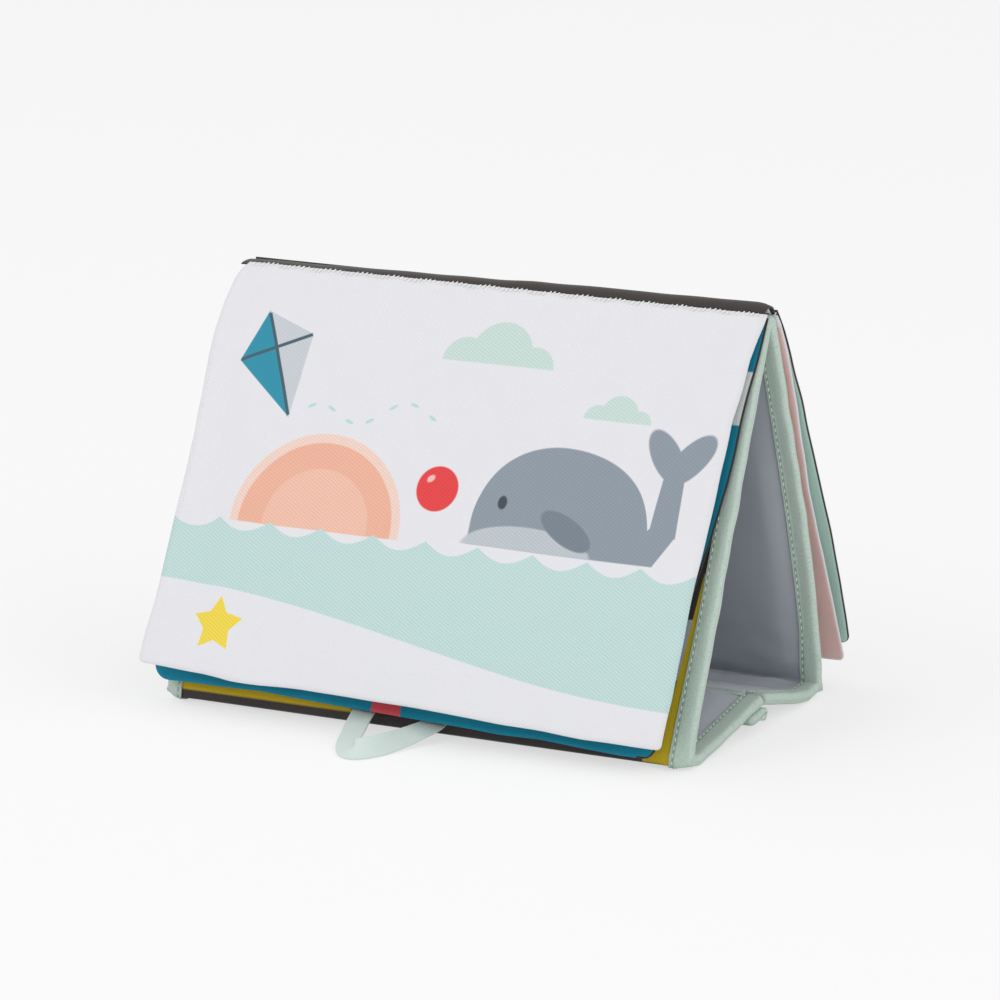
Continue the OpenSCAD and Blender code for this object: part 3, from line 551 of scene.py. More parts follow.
def kiteMasks(tree, spot, x, y, k, turn):
    halves = [convex(tree, spot, points, (x, y), turn) for points in (
        [(0, -0.58 * k), (0, 0.42 * k), (-0.36 * k, 0.08 * k)], [(0, -0.58 * k), (0.36 * k, 0.08 * k), (0, 0.42 * k)])]
    bars = [convex(tree, spot, points, (x, y), turn) for points in (
        [(-0.35 * k, 0.095 * k), (-0.35 * k, 0.065 * k), (0.35 * k, 0.065 * k), (0.35 * k, 0.095 * k)],
        [(-0.015 * k, -0.56 * k), (0.015 * k, -0.56 * k), (0.015 * k, 0.4 * k), (-0.015 * k, 0.4 * k)])]
    step = 0.096 * k
    spots = [(x + 0.3 * k + i * step, y - 0.5 * k + step * math.sin(math.radians(42 * i)) + 0.11 * i * step)
             for i in range(15)]
    dashes = []
    for i in range(1, 14, 2):
        (ax, ay), (bx, by) = spots[i], spots[i + 1]
        middle, lean = ((ax + bx) / 2, (ay + by) / 2), math.degrees(math.atan2(by - ay, bx - ax))
        dashes.append(ellipse(tree, spot, middle, (0.45 * step, 0.16 * step), lean, 0.15))
    return halves, maths(tree, "MAXIMUM", *bars), maths(tree, "MAXIMUM", *dashes)


def paintCover(tree, spot, inset):
    p = coverPrint
    x, y = across(tree, spot, (1, 0)), across(tree, spot, (0, 1))
    seaRun = maths(tree, "ADD", x, -p["left"])
    crest = maths(tree, "ABSOLUTE", maths(tree, "SINE", maths(tree, "MULTIPLY", seaRun, math.pi / p["wavePitch"])))
    top = timesPlus(tree, crest, -p["wave"], p["low"] + p["sea"])
    roll = maths(tree, "COSINE", maths(tree, "MULTIPLY", seaRun, math.pi / (p["right"] - p["left"])))
    bottom = timesPlus(tree, roll, p["swell"], p["low"] + p["seaFloor"])
    sea = maths(tree, "MINIMUM", *[over(tree, maths(tree, "SUBTRACT", a, b), 0) for a, b in ((top, y), (y, bottom))])
    sunX, sunY, sunR = p["sun"]
    sky = over(tree, y, p["low"] + p["sea"] - 1)
    rings = [maths(tree, "MINIMUM", ellipse(tree, spot, (sunX, sunY), (sunR * k, sunR * k)), sky)
             for k in (1, 0.9, 0.62)]
    clouds = maths(tree, "MAXIMUM", *[cloudMask(tree, spot, *c) for c in p["clouds"]])
    body, belly, fin, eye = whaleMasks(tree, spot, *p["whale"])
    halves, bars, tail = kiteMasks(tree, spot, *p["kite"])
    star = starMask(tree, spot, *p["star"])
    ballX, ballY, ballR = p["ball"]
    ball = ellipse(tree, spot, (ballX, ballY), (ballR, ballR))
    shine = ellipse(tree, spot, (ballX - 0.4 * ballR, ballY + 0.42 * ballR), (0.2 * ballR, 0.13 * ballR), 40)
    colour = srgb("#ebebef")
    for shade, mask in (
            ("#f6d8cb", rings[0]), ("#f3b8a0", rings[1]), ("#f6c4af", rings[2]), ("#c5e0dd", sea), ("#cde2db", clouds),
            ("#929da8", body), ("#c3cad0", belly), ("#7c8792", fin), ("#454d56", eye), ("#2f94ae", halves[0]),
            ("#ccd2d7", halves[1]), ("#46606e", bars), ("#bfe0e0", tail), ("#f6dc4e", star), ("#ea4548", ball),
            ("#f7c3c2", shine)):
        colour = lay(tree, colour, shade, mask)
    return colour, maths(tree, "MAXIMUM", rings[0], sea, clouds, body, halves[0], halves[1], ball, star)


coverCloth = wovenCloth("white cloth with a printed picture", paintCover)
print("materials made")


# The long strip: one outer cloth and one satin lining over the boards.
def stripShell(name, side, seed, puff):
    rows = np.unique(np.round(np.concatenate([np.arange(0, stripLength, 3.0), stripRun]), 3))
    rows = rows[np.concatenate([[True], np.diff(rows) > 0.3])]
    rows[-1] = stripLength
    edge = tent["halfWidth"] - 1.6
    cols = np.concatenate([[-edge], np.arange(-115, 115.1, 3.3), [edge]])
    run, x = np.meshgrid(rows, cols, indexing="ij")
    points, normals = stripAt(run)
    points = points + normals * edgeRoll(run, x)[..., None]
    inside = smooth((tent["halfWidth"] - tent["tapeWidth"] - np.abs(x)) / 7)
    room = flatness(run) * inside
    swell = puff * room * (0.55 + 0.45 * ripple(x, run, seed, 46, stretch=0.7))
    if side < 0:
        # The satin lies loose: long soft folds near the feet.
        near = np.exp(-((run - foldRuns[1] - 16) / 14) ** 2) + np.exp(-((run - foldRuns[3] + 16) / 16) ** 2)
        swell += inside * flatness(run, 5) * near * (0.5 + 0.5 * ripple(x, run * 2, seed + 3, 26))
        crease = run - foldRuns[3] - 5 - 2.5 * ripple(x, x * 0, seed + 4, 40)
        swell += inside * (2.6 * np.exp(-(crease / 2.2) ** 2) + 0.9 * np.exp(-((crease + 13) / 4) ** 2))
    swell = np.maximum(swell, 0)
    if side > 0:
        swell = swell + corner(run) * (0.75 - 0.3 * inside)
    out = points + normals * (side * (skin + swell))[..., None]
    inner = points + normals * (side * (tent["board"] / 2 + 0.05))
    flat = flatAt(x, run - foldRuns[1], np.minimum(edge - np.abs(x), 30) + 3)
    return shell(name, place(withX(x, out)), place(withX(x, inner)), flat)


for name, side, seed, puff, cloth, slotName, nodes in (
        ("outer_cloth", 1, 11, 0.35, wallCloth, "charcoal_cloth",
         ["front_wall_cloth", "rear_wall_cloth", "front_flap_cloth", "rear_flap_cloth",
          "wall_yellow", "wall_lavender"]),
        ("satin_lining", -1, 5, 0.8, satin, "satin_lining", ["lining"])):
    piece = stripShell(name, side, seed, puff)
    rootPiece(piece, cloth, slotName, *nodes)
print("strip made")

binding = {"pitch": 3.2, "stitchIn": 1.4, "edgeRound": 1.6, "puff": 0.13, "narrow": 0.24}


# The tape's edge comes in a little on the walls, and keeps its width at the folds and flaps.
def tapeNarrow(run):
    front = smooth((run - foldRuns[1] - 5) / 60) * (run < foldRuns[2])
    rear = smooth((foldRuns[3] - 8 - run) / 22) * (run >= foldRuns[2])
    return 1 - binding["narrow"] * (front + rear)


# Tape folded over one end of the strip: out along one face, round the end and back along the other.
def bindingTape(name, side):
    rows = np.arange(0, stripLength + 0.01, binding["pitch"] / 3)
    width, tape, roundIn = tent["tapeWidth"], tent["tape"], binding["edgeRound"]
    runs = np.array([width, width - 0.35, width - 0.9, width - 1.4, width - 2, width - 3, 5.4, 4.2, 3, roundIn])
    arc = np.radians(np.linspace(90, -90, 9)[1:-1])
    inset = np.concatenate([runs, roundIn * (1 - np.cos(arc)), runs[::-1]])
    height = np.concatenate([np.ones(len(runs)), np.sin(arc), -np.ones(len(runs))])
    below = np.array([width, 6, 3, roundIn + 0.2])
    innerInset = np.concatenate([below, [tape * 1.3], below[::-1]])
    innerHeight = np.concatenate([-np.ones(4), [0], np.ones(4)])
    run, e = np.meshgrid(rows, np.concatenate([inset, innerInset]), indexing="ij")
    level = np.tile(np.concatenate([height * bound, innerHeight * (skin - 0.1)]), (len(rows), 1))
    shown = np.tile(np.concatenate([np.ones(len(inset)), np.zeros(len(innerInset))]), (len(rows), 1))
    points, normals = stripAt(run)
    spread = e
    narrow = tapeNarrow(run)
    e = np.where(e > 3, 3 + (e - 3) * narrow, e)
    width = width * narrow
    body = np.sin(np.clip((width - binding["stitchIn"] - e) / (width - binding["stitchIn"]), 0, 1) * math.pi) ** 0.7
    pull = 0.5 + 0.5 * np.cos(2 * math.pi * run / binding["pitch"])
    dip = np.exp(-((e - (width - binding["stitchIn"])) / 0.8) ** 2)
    calm = 0.25 + 0.75 * flatness(run, 5)
    swell = calm * (binding["puff"] * body * (0.7 + 0.3 * pull + 0.3 * ripple(run, e, 3, 18)) - 0.22 * dip * pull)
    edgeShift = 0.22 * ripple(run, level, 8, 24) * np.where(e < 4, 1, 0)
    mitre = sum(np.exp(-((run - middle - (e - 5) * 0.55) / 0.8) ** 2) for middle in (foldRuns[1], foldRuns[3])) * 0.3
    push = shown * np.sign(level) * (swell + mitre * (level > 0))
    out = points + normals * (level + push)[..., None]
    x = side * (tent["halfWidth"] - e + edgeShift * shown)
    out = out + normals * (edgeRoll(run, x) + corner(run) * (level > 0))[..., None]
    return tube(name, place(withX(x, out)), flatAt(run, spread + np.where(level > 0, 0, 20)))


for side, name in ((1, "right_binding"), (-1, "left_binding")):
    piece = bindingTape(name + "_tape", side)
    rootPiece(piece, tapeCloth, "mint_tape", name)


# A plain slab between two lines across the tent: a stiffening board or one half of the closure.
def slab(name, a, b, down, half, material, slotName, node):
    xs = np.concatenate([[-half, -half + 0.4], np.linspace(-half + 3, half - 3, 12), [half - 0.4, half]])
    soft = np.array([0.7] + [1] * 14 + [0.7])[:, None, None]
    ring = np.array([a, b, b + down, a + down])
    rings = ring.mean(0) + (ring - ring.mean(0))[None] * soft
    piece = tube(name, place(withX(xs[:, None], rings)), flatAt(xs[:, None], np.array([0.0, 20, 22, 2])))
    rootPiece(piece, material, slotName, node)


# Each board stops short of the folds beside it by these margins in mm.
boards = {"half": 105, "foot": 9, "ridge": 8.6, "rearFoot": 13, "flap": 3}
for name, a, b, start, end in (
        ("front_wall_board", frontFold, ridge, boards["foot"], boards["ridge"]),
        ("rear_wall_board", ridge, rearFold, boards["ridge"], boards["rearFoot"]),
        ("front_flap_board", frontEnd, frontLift, boards["flap"], boards["flap"]),
        ("rear_flap_board", rearLift, rearEnd, boards["flap"], boards["flap"])):
    u = unit(b - a)
    n = leftOf(u) * tent["board"] / 2
    slab(name + "_core", a + u * start - n, b - u * end - n, n * 2, boards["half"], boardFelt, "stiffener", name)


# Tape over the free end of a flap, between the side bindings.
def endTape(name, end, along, face, seed):
    arc = np.radians(np.linspace(90, -90, 9))
    u = np.concatenate([[7, 4, 1.2], -tent["tape"] * np.cos(arc), [0.6, 1.2, 1.5], [1.5, 0.8, 0.3, 0.3, 4, 7]])
    n = np.concatenate([[bound] * 3, bound * np.sin(arc), [-bound] * 3,
                        [-skin, -skin, -skin + 0.2, skin - 0.2, skin, skin]])
    xs = np.arange(-111.5, 111.6, 1.6)
    x, uu = np.meshgrid(xs, u, indexing="ij")
    nn = np.tile(n, (len(xs), 1))
    wave = 0.2 * ripple(x, uu, seed, 22) * (np.abs(nn) > skin + 0.1)
    nn = nn + np.sign(nn) * np.maximum(wave, -0.1)
    points = end + uu[..., None] * along + nn[..., None] * face
    return tube(name, place(withX(x, points)), flatAt(x, uu + np.where(nn > 0, 0, 20)))


frontFlapDir, rearFlapDir = unit(frontLift - frontEnd), unit(rearLift - rearEnd)
frontFlapDown, rearFlapDown = leftOf(frontFlapDir), -leftOf(rearFlapDir)
for name, end, along, face, seed in (
        ("front_flap", frontEnd, frontFlapDir, frontFlapDown, 21),
        ("rear_flap", rearEnd, rearFlapDir, rearFlapDown, 22)):
    piece = endTape(name + "_tape", end, along, face, seed)
    rootPiece(piece, tapeCloth, "mint_tape", name + "_binding")
print("bindings made")


# A soft strip along x that follows a line in the y-z plane, closed all round.
def softStrip(name, line, thick, x0, x1, seed, step=2.5, wave=0.15):
    line = np.asarray(line, float)
    ahead = headings(line)
    normal = np.stack([-ahead[:, 1], ahead[:, 0]], -1)
    run = runAlong(line)
    thin = 1 - 0.6 * np.exp(-np.minimum(run, run[-1] - run) / 0.5)
    xs = np.arange(x0, x1 + 0.01, step)
    grids = []
    for side in (1, -1):
        bend = wave * ripple(xs[:, None], run[None, :], seed, 20)
        p = line[None] + normal[None] * ((side * thick / 2 * thin)[None] + bend)[..., None]
        grids.append(place(withX(xs[:, None], p)))
    return shell(name, *grids, flatAt(xs[:, None], run[None]))


lip = {"thick": 1.6, "overlap": 18, "root": 8, "setback": 2, "bend": 2.4,
       "closure": 0.7, "closureWidth": 12, "closureHalf": 90, "closureIn": 4}
lipOff = skin + 2 * lip["closure"] + lip["thick"] / 2
lipTurn = frontEnd + frontFlapDown * lipOff + frontFlapDir * lip["setback"]
lipTip = lipTurn + frontFlapDir * lip["overlap"]
lipStart = rearEnd + rearFlapDir * lip["root"] + rearFlapDown * (skin + lip["thick"] / 2)
lipBend = [p for p, n in foldPlaces(lipStart, lipTurn, lipTip, lip["bend"], 8)]
lipLine = [lipStart + (lipBend[0] - lipStart) * t for t in np.linspace(0, 0.9, 5)] + lipBend
lipLine += [lipBend[-1] + (lipTip - lipBend[-1]) * t for t in np.linspace(0.12, 1, 8)]
for level, name in ((skin, "hook_strip"), (skin + lip["closure"], "loop_strip")):
    p = frontEnd + frontFlapDown * level + frontFlapDir * (lip["setback"] + lip["closureIn"])
    slab(name + "_pile", p, p + frontFlapDir * lip["closureWidth"], frontFlapDown * lip["closure"], lip["closureHalf"],
         closurePile, "closure_tape", name)
lipPiece = softStrip("closure_lip_cloth", lipLine, lip["thick"], -110.3, 110.3, 31, 3.0, 0.05)
rootPiece(lipPiece, charcoalCloth, "charcoal_cloth", "closure_lip")

spine = {
    "front": frontHinge[0] + cover["thick"] / 2 + tent["gap"], "rear": rearHinge[0] - cover["thick"] / 2 - tent["gap"],
    "half": 120.5, "rightShort": 2.4, "low": 170.042, "leftRise": 1.3, "rightRise": 4.7, "thick": 0.9,
}


# The charcoal strip over the ridge seam, which stands up more towards its right end.
def spineStrip(name, inset, half, seed, drop=0.0):
    xs = np.concatenate([[-half], np.arange(-half + 0.6, half - 0.5, 2.4), [half]])
    turn = np.radians(np.linspace(180, 0, 25))
    rise = spine["leftRise"] + (spine["rightRise"] - spine["leftRise"]) * smooth((xs + 150) / 255)
    rise = (rise + 0.18 * ripple(xs, xs * 0, seed, 40)) * (1 - 0.25 * smooth((np.abs(xs) - half + 4) / 4))
    y0, y1 = spine["front"] + inset, spine["rear"] - inset
    xs = np.where(xs > 0, xs * (half - spine["rightShort"]) / half, xs)
    grids = []
    for thin in (0, spine["thick"]):
        mid, reach = (y0 + y1) / 2, (y1 - y0) / 2 - thin
        y = mid + reach * np.cos(turn)[None, :] + 0.12 * ripple(xs, xs, seed + 1, 30)[:, None] * np.sin(turn)[None]
        z = spine["low"] + np.maximum((rise - drop)[:, None] - thin, 0.25) * np.sin(turn)[None, :]
        x = np.broadcast_to(xs[:, None], y.shape)
        grids.append(place(np.stack([x, y, z], -1)))
    return shell(name, *grids, flatAt(x, turn[None] * 5))


piece = spineStrip("spine_cloth", 0, spine["half"], 41)
rootPiece(piece, charcoalCloth, "charcoal_cloth", "spine_strip")
piece = spineStrip("ridge_hems", spine["thick"] + 0.15, spine["half"] - 1.5, 43, 1.0)
rootPiece(piece, whiteCloth, "white_cloth", "ridge_seam")
print("spine made")

# Leaves and covers: an outline in mm from the top edge down, padded a little between its hems.
frontCover = {
    "name": "front_cover_cloth", "top": frontHinge, "lean": frontLean + math.radians(3.9), "side": -1,
    "left": ((-1, -115.3), (3, -118.9), (7.4, -120.7), (17, -122.9), (30, -124.6), (43, -124.6), (60, -123.7),
             (82, -123.1), (125, -122.9), (146, -123.1), (160, -124.1), (173, -124.1)),
    "right": ((-1, 120.3), (4, 119.5), (10.4, 118.2), (18.8, 117), (25.5, 116.8), (35.5, 116.3), (45.5, 115.3),
              (60, 115.3), (77, 115), (93, 114.6), (110, 114), (126, 114), (158, 114.2), (175, 113.6)),
    "length": ((-124, 172.7), (-110, 173.2), (-95, 173.8), (-81, 175), (-67, 175), (-48, 174.7), (-29, 175),
               (-2, 175.6), (30, 176.7), (43, 177.3), (61, 177.7), (79, 178.6), (97, 178.8), (113, 178.7)),
    "lift": 0.6, "rounds": (2.5, 2),
    "edge": 0.55, "thick": 1.0, "puff": 0.35, "hem": 3.5, "seed": 61, "rim": 0,
}
frontLeaf = {
    "name": "front_leaf_cloth", "top": frontLeafTop, "lean": frontLean + math.radians(1.3), "side": -1,
    "left": ((-4, -113), (8, -117), (20, -119.5), (40, -121.2), (150, -121.4), (168, -122.2), (176, -122.2)),
    "right": ((-4, 120), (6, 119.6), (14, 119.1), (30, 117.9), (39, 117.2), (55, 116.8), (63, 116.3), (72, 115.4),
              (88, 114), (96, 112.7), (105, 111.3), (113, 110.4), (140, 109), (173, 107.7)),
    "length": ((-122, 173.2), (-99, 172.8), (-71, 172.4), (-52, 173.1), (-34, 174.1), (0, 175), (25, 175.7),
               (39, 176.3), (57, 176.1), (75, 177.2), (93, 178), (108, 177.8)),
    "lift": 3.5, "rounds": (8, 5), "edge": 0.45, "thick": 0.75,
    "puff": 0.12, "hem": 4, "seed": 71, "rim": 1,
}
rearLeaf = {
    "name": "rear_leaf_cloth", "top": rearLeafTop, "lean": rearLean + math.radians(5.4), "side": 1,
    "left": ((-4, -118.5), (169.5, -119)),
    "right": ((-4, 119.6), (0, 120.6), (12, 121.3), (40, 121.2), (58, 120.4), (82, 119.6), (107, 119.7), (130, 120.3),
              (170, 120.6)),
    "length": ((-119, 169.5), (119, 169.5)), "lift": 3.5, "rounds": (3, 3), "edge": 0.45, "thick": 0.75,
    "puff": 0.12, "hem": 4, "seed": 81, "rim": 0, "edgeBand": 0.9,
}
rearCover = {
    "name": "rear_cover_cloth", "top": rearHinge, "lean": rearLean + math.radians(6.2), "side": 1,
    "left": ((-1, -120), (3, -121), (167.5, -121)),
    "right": ((-1, 118.6), (8, 120), (22, 121.2), (45, 122.2), (60, 122.5), (111, 122.8), (137, 122.7), (163, 122)),
    "length": ((-121, 167.5), (121, 167.5)), "lift": 0.6, "rounds": (4, 4), "edge": 0.55, "thick": 1.0,
    "puff": 0.3, "hem": 3.5, "seed": 91, "rim": 0, "edgeBand": 0.9,
}


def steps(length, fine=2.8):
    near = np.array([0, 0.2, 0.5, 0.9, 1.5, 2.2, 3.0, 4.0, 5.4, 7.4])
    count = int((length - 20) / fine)
    return np.concatenate([near, np.linspace(10, length - 10, count), (length - near)[::-1]])


def onPanel(panel, x, d, h):
    s, c = math.sin(panel["lean"]), math.cos(panel["lean"])
    y = panel["top"][0] + panel["side"] * (s * d + c * h)
    z = panel["top"][1] - c * d + s * h
    return place(np.stack([x, y, z], -1))


def table(rows, at):
    return np.interp(at, [r[0] for r in rows], [r[1] for r in rows])


# How far a panel's middle stands out of its flat plane.
def panelBend(panel, x, d):
    seed = panel["seed"]
    lower = smooth(d / 60)
    bend = 0.8 * lower * ripple(x, d, seed, 95, stretch=0.5)
    bend += 0.2 * smooth(d / 20) * ripple(x, d, seed + 1, 34)
    if panel is frontCover:
        # A soft upright fold beside the left seam, and short puckers from its knot.
        off = x + 119.5 - 0.117 * d
        bend -= 1.3 * np.exp(-(off / 6) ** 2) * smooth((d - 15) / 35) * smooth((190 - d) / 40)
        bend += 0.8 * np.exp(-((off - 14) / 9) ** 2) * smooth((d - 25) / 40)
        bend += 0.3 * np.exp(-((x + 120) / 5) ** 2 - ((d - 62) / 26) ** 2) * np.sin((x * 0.5 + d) / 2.4)
        bend += 0.22 * np.exp(-((d - 6) / 7) ** 2) * ripple(x, d * 0, seed + 2, 17)
        bend += 0.35 * np.exp(-((x - 108) / 9) ** 2) * ripple(d, x * 0, seed + 3, 34) * smooth(d / 30)
    return bend


def panelHalf(panel, d, inX, inD):
    edgeAway = np.minimum(inX, inD)
    hem = panel["edge"] + (0.8 * panel["thick"] - panel["edge"]) * smooth(edgeAway / 1.3)
    body = (panel["thick"] - 0.8 * panel["thick"]) * smooth((edgeAway - panel["hem"]) / 3)
    puff = panel["puff"] * smooth((edgeAway - panel["hem"]) / 26) * smooth(d / 30)
    rounding = np.sqrt(np.clip(edgeAway / 0.8, 0, 1))
    return (hem + body + puff) * (0.35 + 0.65 * rounding)


def softPanel(panel):
    width = panel["right"][0][1] - panel["left"][0][1]
    length = panel["length"][0][1] + panel["lift"]
    acrossAt, downAt = steps(width) / width, steps(length) / length
    v, u = np.meshgrid(downAt, acrossAt, indexing="ij")
    x = panel["left"][0][1] + u * width
    for _ in range(3):  # the outline's sides and foot depend on each other a little
        foot = table(panel["length"], x) + 0.15 * ripple(x, x * 0, panel["seed"] + 5, 40)
        d = -panel["lift"] + v * (foot + panel["lift"])
        up = foot - d
        insets = []
        for r in panel["rounds"]:
            b = np.clip(up, 0, r)
            insets.append(r - np.sqrt(np.maximum(r * r - (r - b) ** 2, 0)))
        side = 0.12 * ripple(d, d * 0, panel["seed"] + 6, 35)
        x0 = table(panel["left"], d) + insets[0] + side
        x1 = table(panel["right"], d) - insets[1] + side
        x = x0 + u * (x1 - x0)
    inX = np.minimum(u, 1 - u) * (x1 - x0)
    inD = np.minimum(v, 1 - v) * (foot + panel["lift"])
    bend = panelBend(panel, x, d)
    half = panelHalf(panel, d, inX, inD)
    return shell(panel["name"], onPanel(panel, x, d, bend + half), onPanel(panel, x, d, bend - half),
                 flatAt(x, -d, np.minimum(inX, inD)), 1, panel["rim"], -2, panel.get("edgeBand", 0))


for panel, materials, slotName, nodes, body in (
        (frontCover, [coverCloth, mintCloth], "white_cloth",
         ["front_cover_face", "front_cover_back", "print_sea", "print_sun", "print_clouds", "print_whale", "print_fin",
          "print_kite", "print_lines", "print_star", "print_ball"], "front_cover"),
        (frontLeaf, [tealCloth, charcoalCloth], "teal_cloth",
         ["front_leaf_face", "front_leaf_back", "leaf_coral", "leaf_white"], None),
        (rearLeaf, [whiteCloth, pinkCloth], "pink_cloth", ["rear_leaf_face", "rear_leaf_back"], None),
        (rearCover, [charcoalCloth, mintCloth], "mint_cloth", ["rear_cover_face", "rear_cover_back"], "rear_cover")):
    piece = softPanel(panel)
    finishPiece(piece, materials, slotName, *nodes)
    if body is None:
        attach(piece, "root")
    else:
        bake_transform(piece)
print("leaves and covers made")

loop = {"width": 10, "thick": 0.8, "left": 24.5, "right": 6, "reach": 42, "rootZ": 3.6}


def lie(roll):
    return loop["width"] / 2 * abs(math.sin(math.radians(roll))) + loop["thick"] / 2 * abs(math.cos(math.radians(roll)))


def loopRoute():
    centre = stripFolds[1][0][0] + [0, tent["frontBend"]]
    rootY = centre[0] - math.sqrt((tent["frontBend"] + skin) ** 2 - (centre[1] - loop["rootZ"]) ** 2) - 0.05
    tipY = frontFold[0] - loop["reach"]
    left, right, rootZ = -loop["left"], loop["right"], loop["rootZ"]
    mix = lambda a, b, t: a + (b - a) * t
    route = [
        (left, rootY - 0.8, rootZ + 4.8, -2), (left + 0.5, rootY - 4, rootZ + 4.4, 0),
        (left + 4, mix(rootY, tipY, 0.45), 4.2, -4),
        (left + 9.5, mix(rootY, tipY, 0.82), 2.6, -14), (left + 16, tipY + 0.5, lie(-34), -34),
        (left + 22, mix(rootY, tipY, 0.82), lie(-42), -42), (left + 26, mix(rootY, tipY, 0.48), lie(-30) + 1, -30),
        (right + 1, mix(rootY, tipY, 0.16), rootZ + 2.4, -14), (right + 1.5, rootY - 0.8, rootZ + 3.6, -8)]
    route = np.array(route, float)
    padded = np.concatenate([route[:1], route, route[-1:]])
    points = []
    for i in range(len(route) - 1):
        a, b, c, d = padded[i:i + 4]
        for t in np.linspace(0, 1, 15)[:-1]:
            points.append(0.5 * (2 * b + (c - a) * t + (2 * a - 5 * b + 4 * c - d) * t * t
                                 + (3 * b - a - 3 * c + d) * t ** 3))
    return np.array(points + [route[-1]])


def loopTape():
    route = loopRoute()
    spots, roll = route[:, :3].copy(), np.radians(route[:, 3])
    spots[:, 2] = np.maximum(spots[:, 2], [lie(r) + 0.1 for r in route[:, 3]])
    ahead = headings(spots)
    flatWay = np.cross(ahead, [0, 0, 1])
    flatWay /= np.linalg.norm(flatWay, axis=1, keepdims=True)
    rise = np.cross(flatWay, ahead)
    acrossWay = flatWay * np.cos(roll)[:, None] + rise * np.sin(roll)[:, None]
    faceWay = np.cross(acrossWay, ahead)
    k = np.array([-1, -0.97, -0.88, -0.7, -0.4, 0, 0.4, 0.7, 0.88, 0.97, 1])
    half = loop["thick"] / 2 * np.array([0.45, 0.8, 1, 0.85, 0.9, 1, 0.9, 0.85, 1, 0.8, 0.45])
    w = np.concatenate([k, k[::-1][1:-1]]) * loop["width"] / 2 * 0.985
    f = np.concatenate([half, -half[::-1][1:-1]])
    run = runAlong(spots)
    f = f[None, :] + 0.1 * ripple(run[:, None], w[None, :], 51, 12)
    rings = spots[:, None] + acrossWay[:, None] * w[None, :, None] + faceWay[:, None] * f[..., None]
    rings[..., 2] = np.maximum(rings[..., 2], 0.05)
    return tube("pull_loop_tape", place(rings), flatAt(run[:, None], w[None])), run[-1]


piece, loopLength = loopTape()
rootPiece(piece, paleTape, "mint_tape", "pull_loop")


# The loose end of the right binding, folded back under the base into a small flat lobe.
def bindingTail():
    top = frontEnd + frontFlapDown * (bound + tent["gap"] / 2)
    tip = top + frontFlapDir * 15.5
    outline = np.array([tip, top + frontFlapDir * 8, top + frontFlapDir * 2, top + [1.6, -0.7], top + [2.2, -2.6],
                        top + [1.6, -4.6], top + [0.4, -5.6], top + [-1.6, -5.4], top + [-6, -4.2], tip + [3, -2.2]])
    xs = np.array([111, 111.3, 112, 114, 116, 118, 119.4, 120.4, 121, 121.2])
    grow = np.array([0.75, 0.9, 1, 1, 1, 1, 1, 0.97, 0.88, 0.72])
    middle = outline.mean(0)
    rings = middle + (outline - middle)[None] * grow[:, None, None]
    lobe = np.array([0, 0, 0, 1, 1, 0.4, 0, 0, 0, 0])
    crease = 0.35 * np.sin(np.linspace(0, 3 * math.pi, len(xs)))[:, None] * lobe[None]
    rings = rings + np.stack([crease, crease * 0], -1)
    return tube("binding_tail_tape", place(withX(xs[:, None], rings)), flatAt(xs[:, None], np.arange(10.0) * 2))


piece = bindingTail()
rootPiece(piece, tapeCloth, "mint_tape", "binding_tail")
print("loop and tail made")

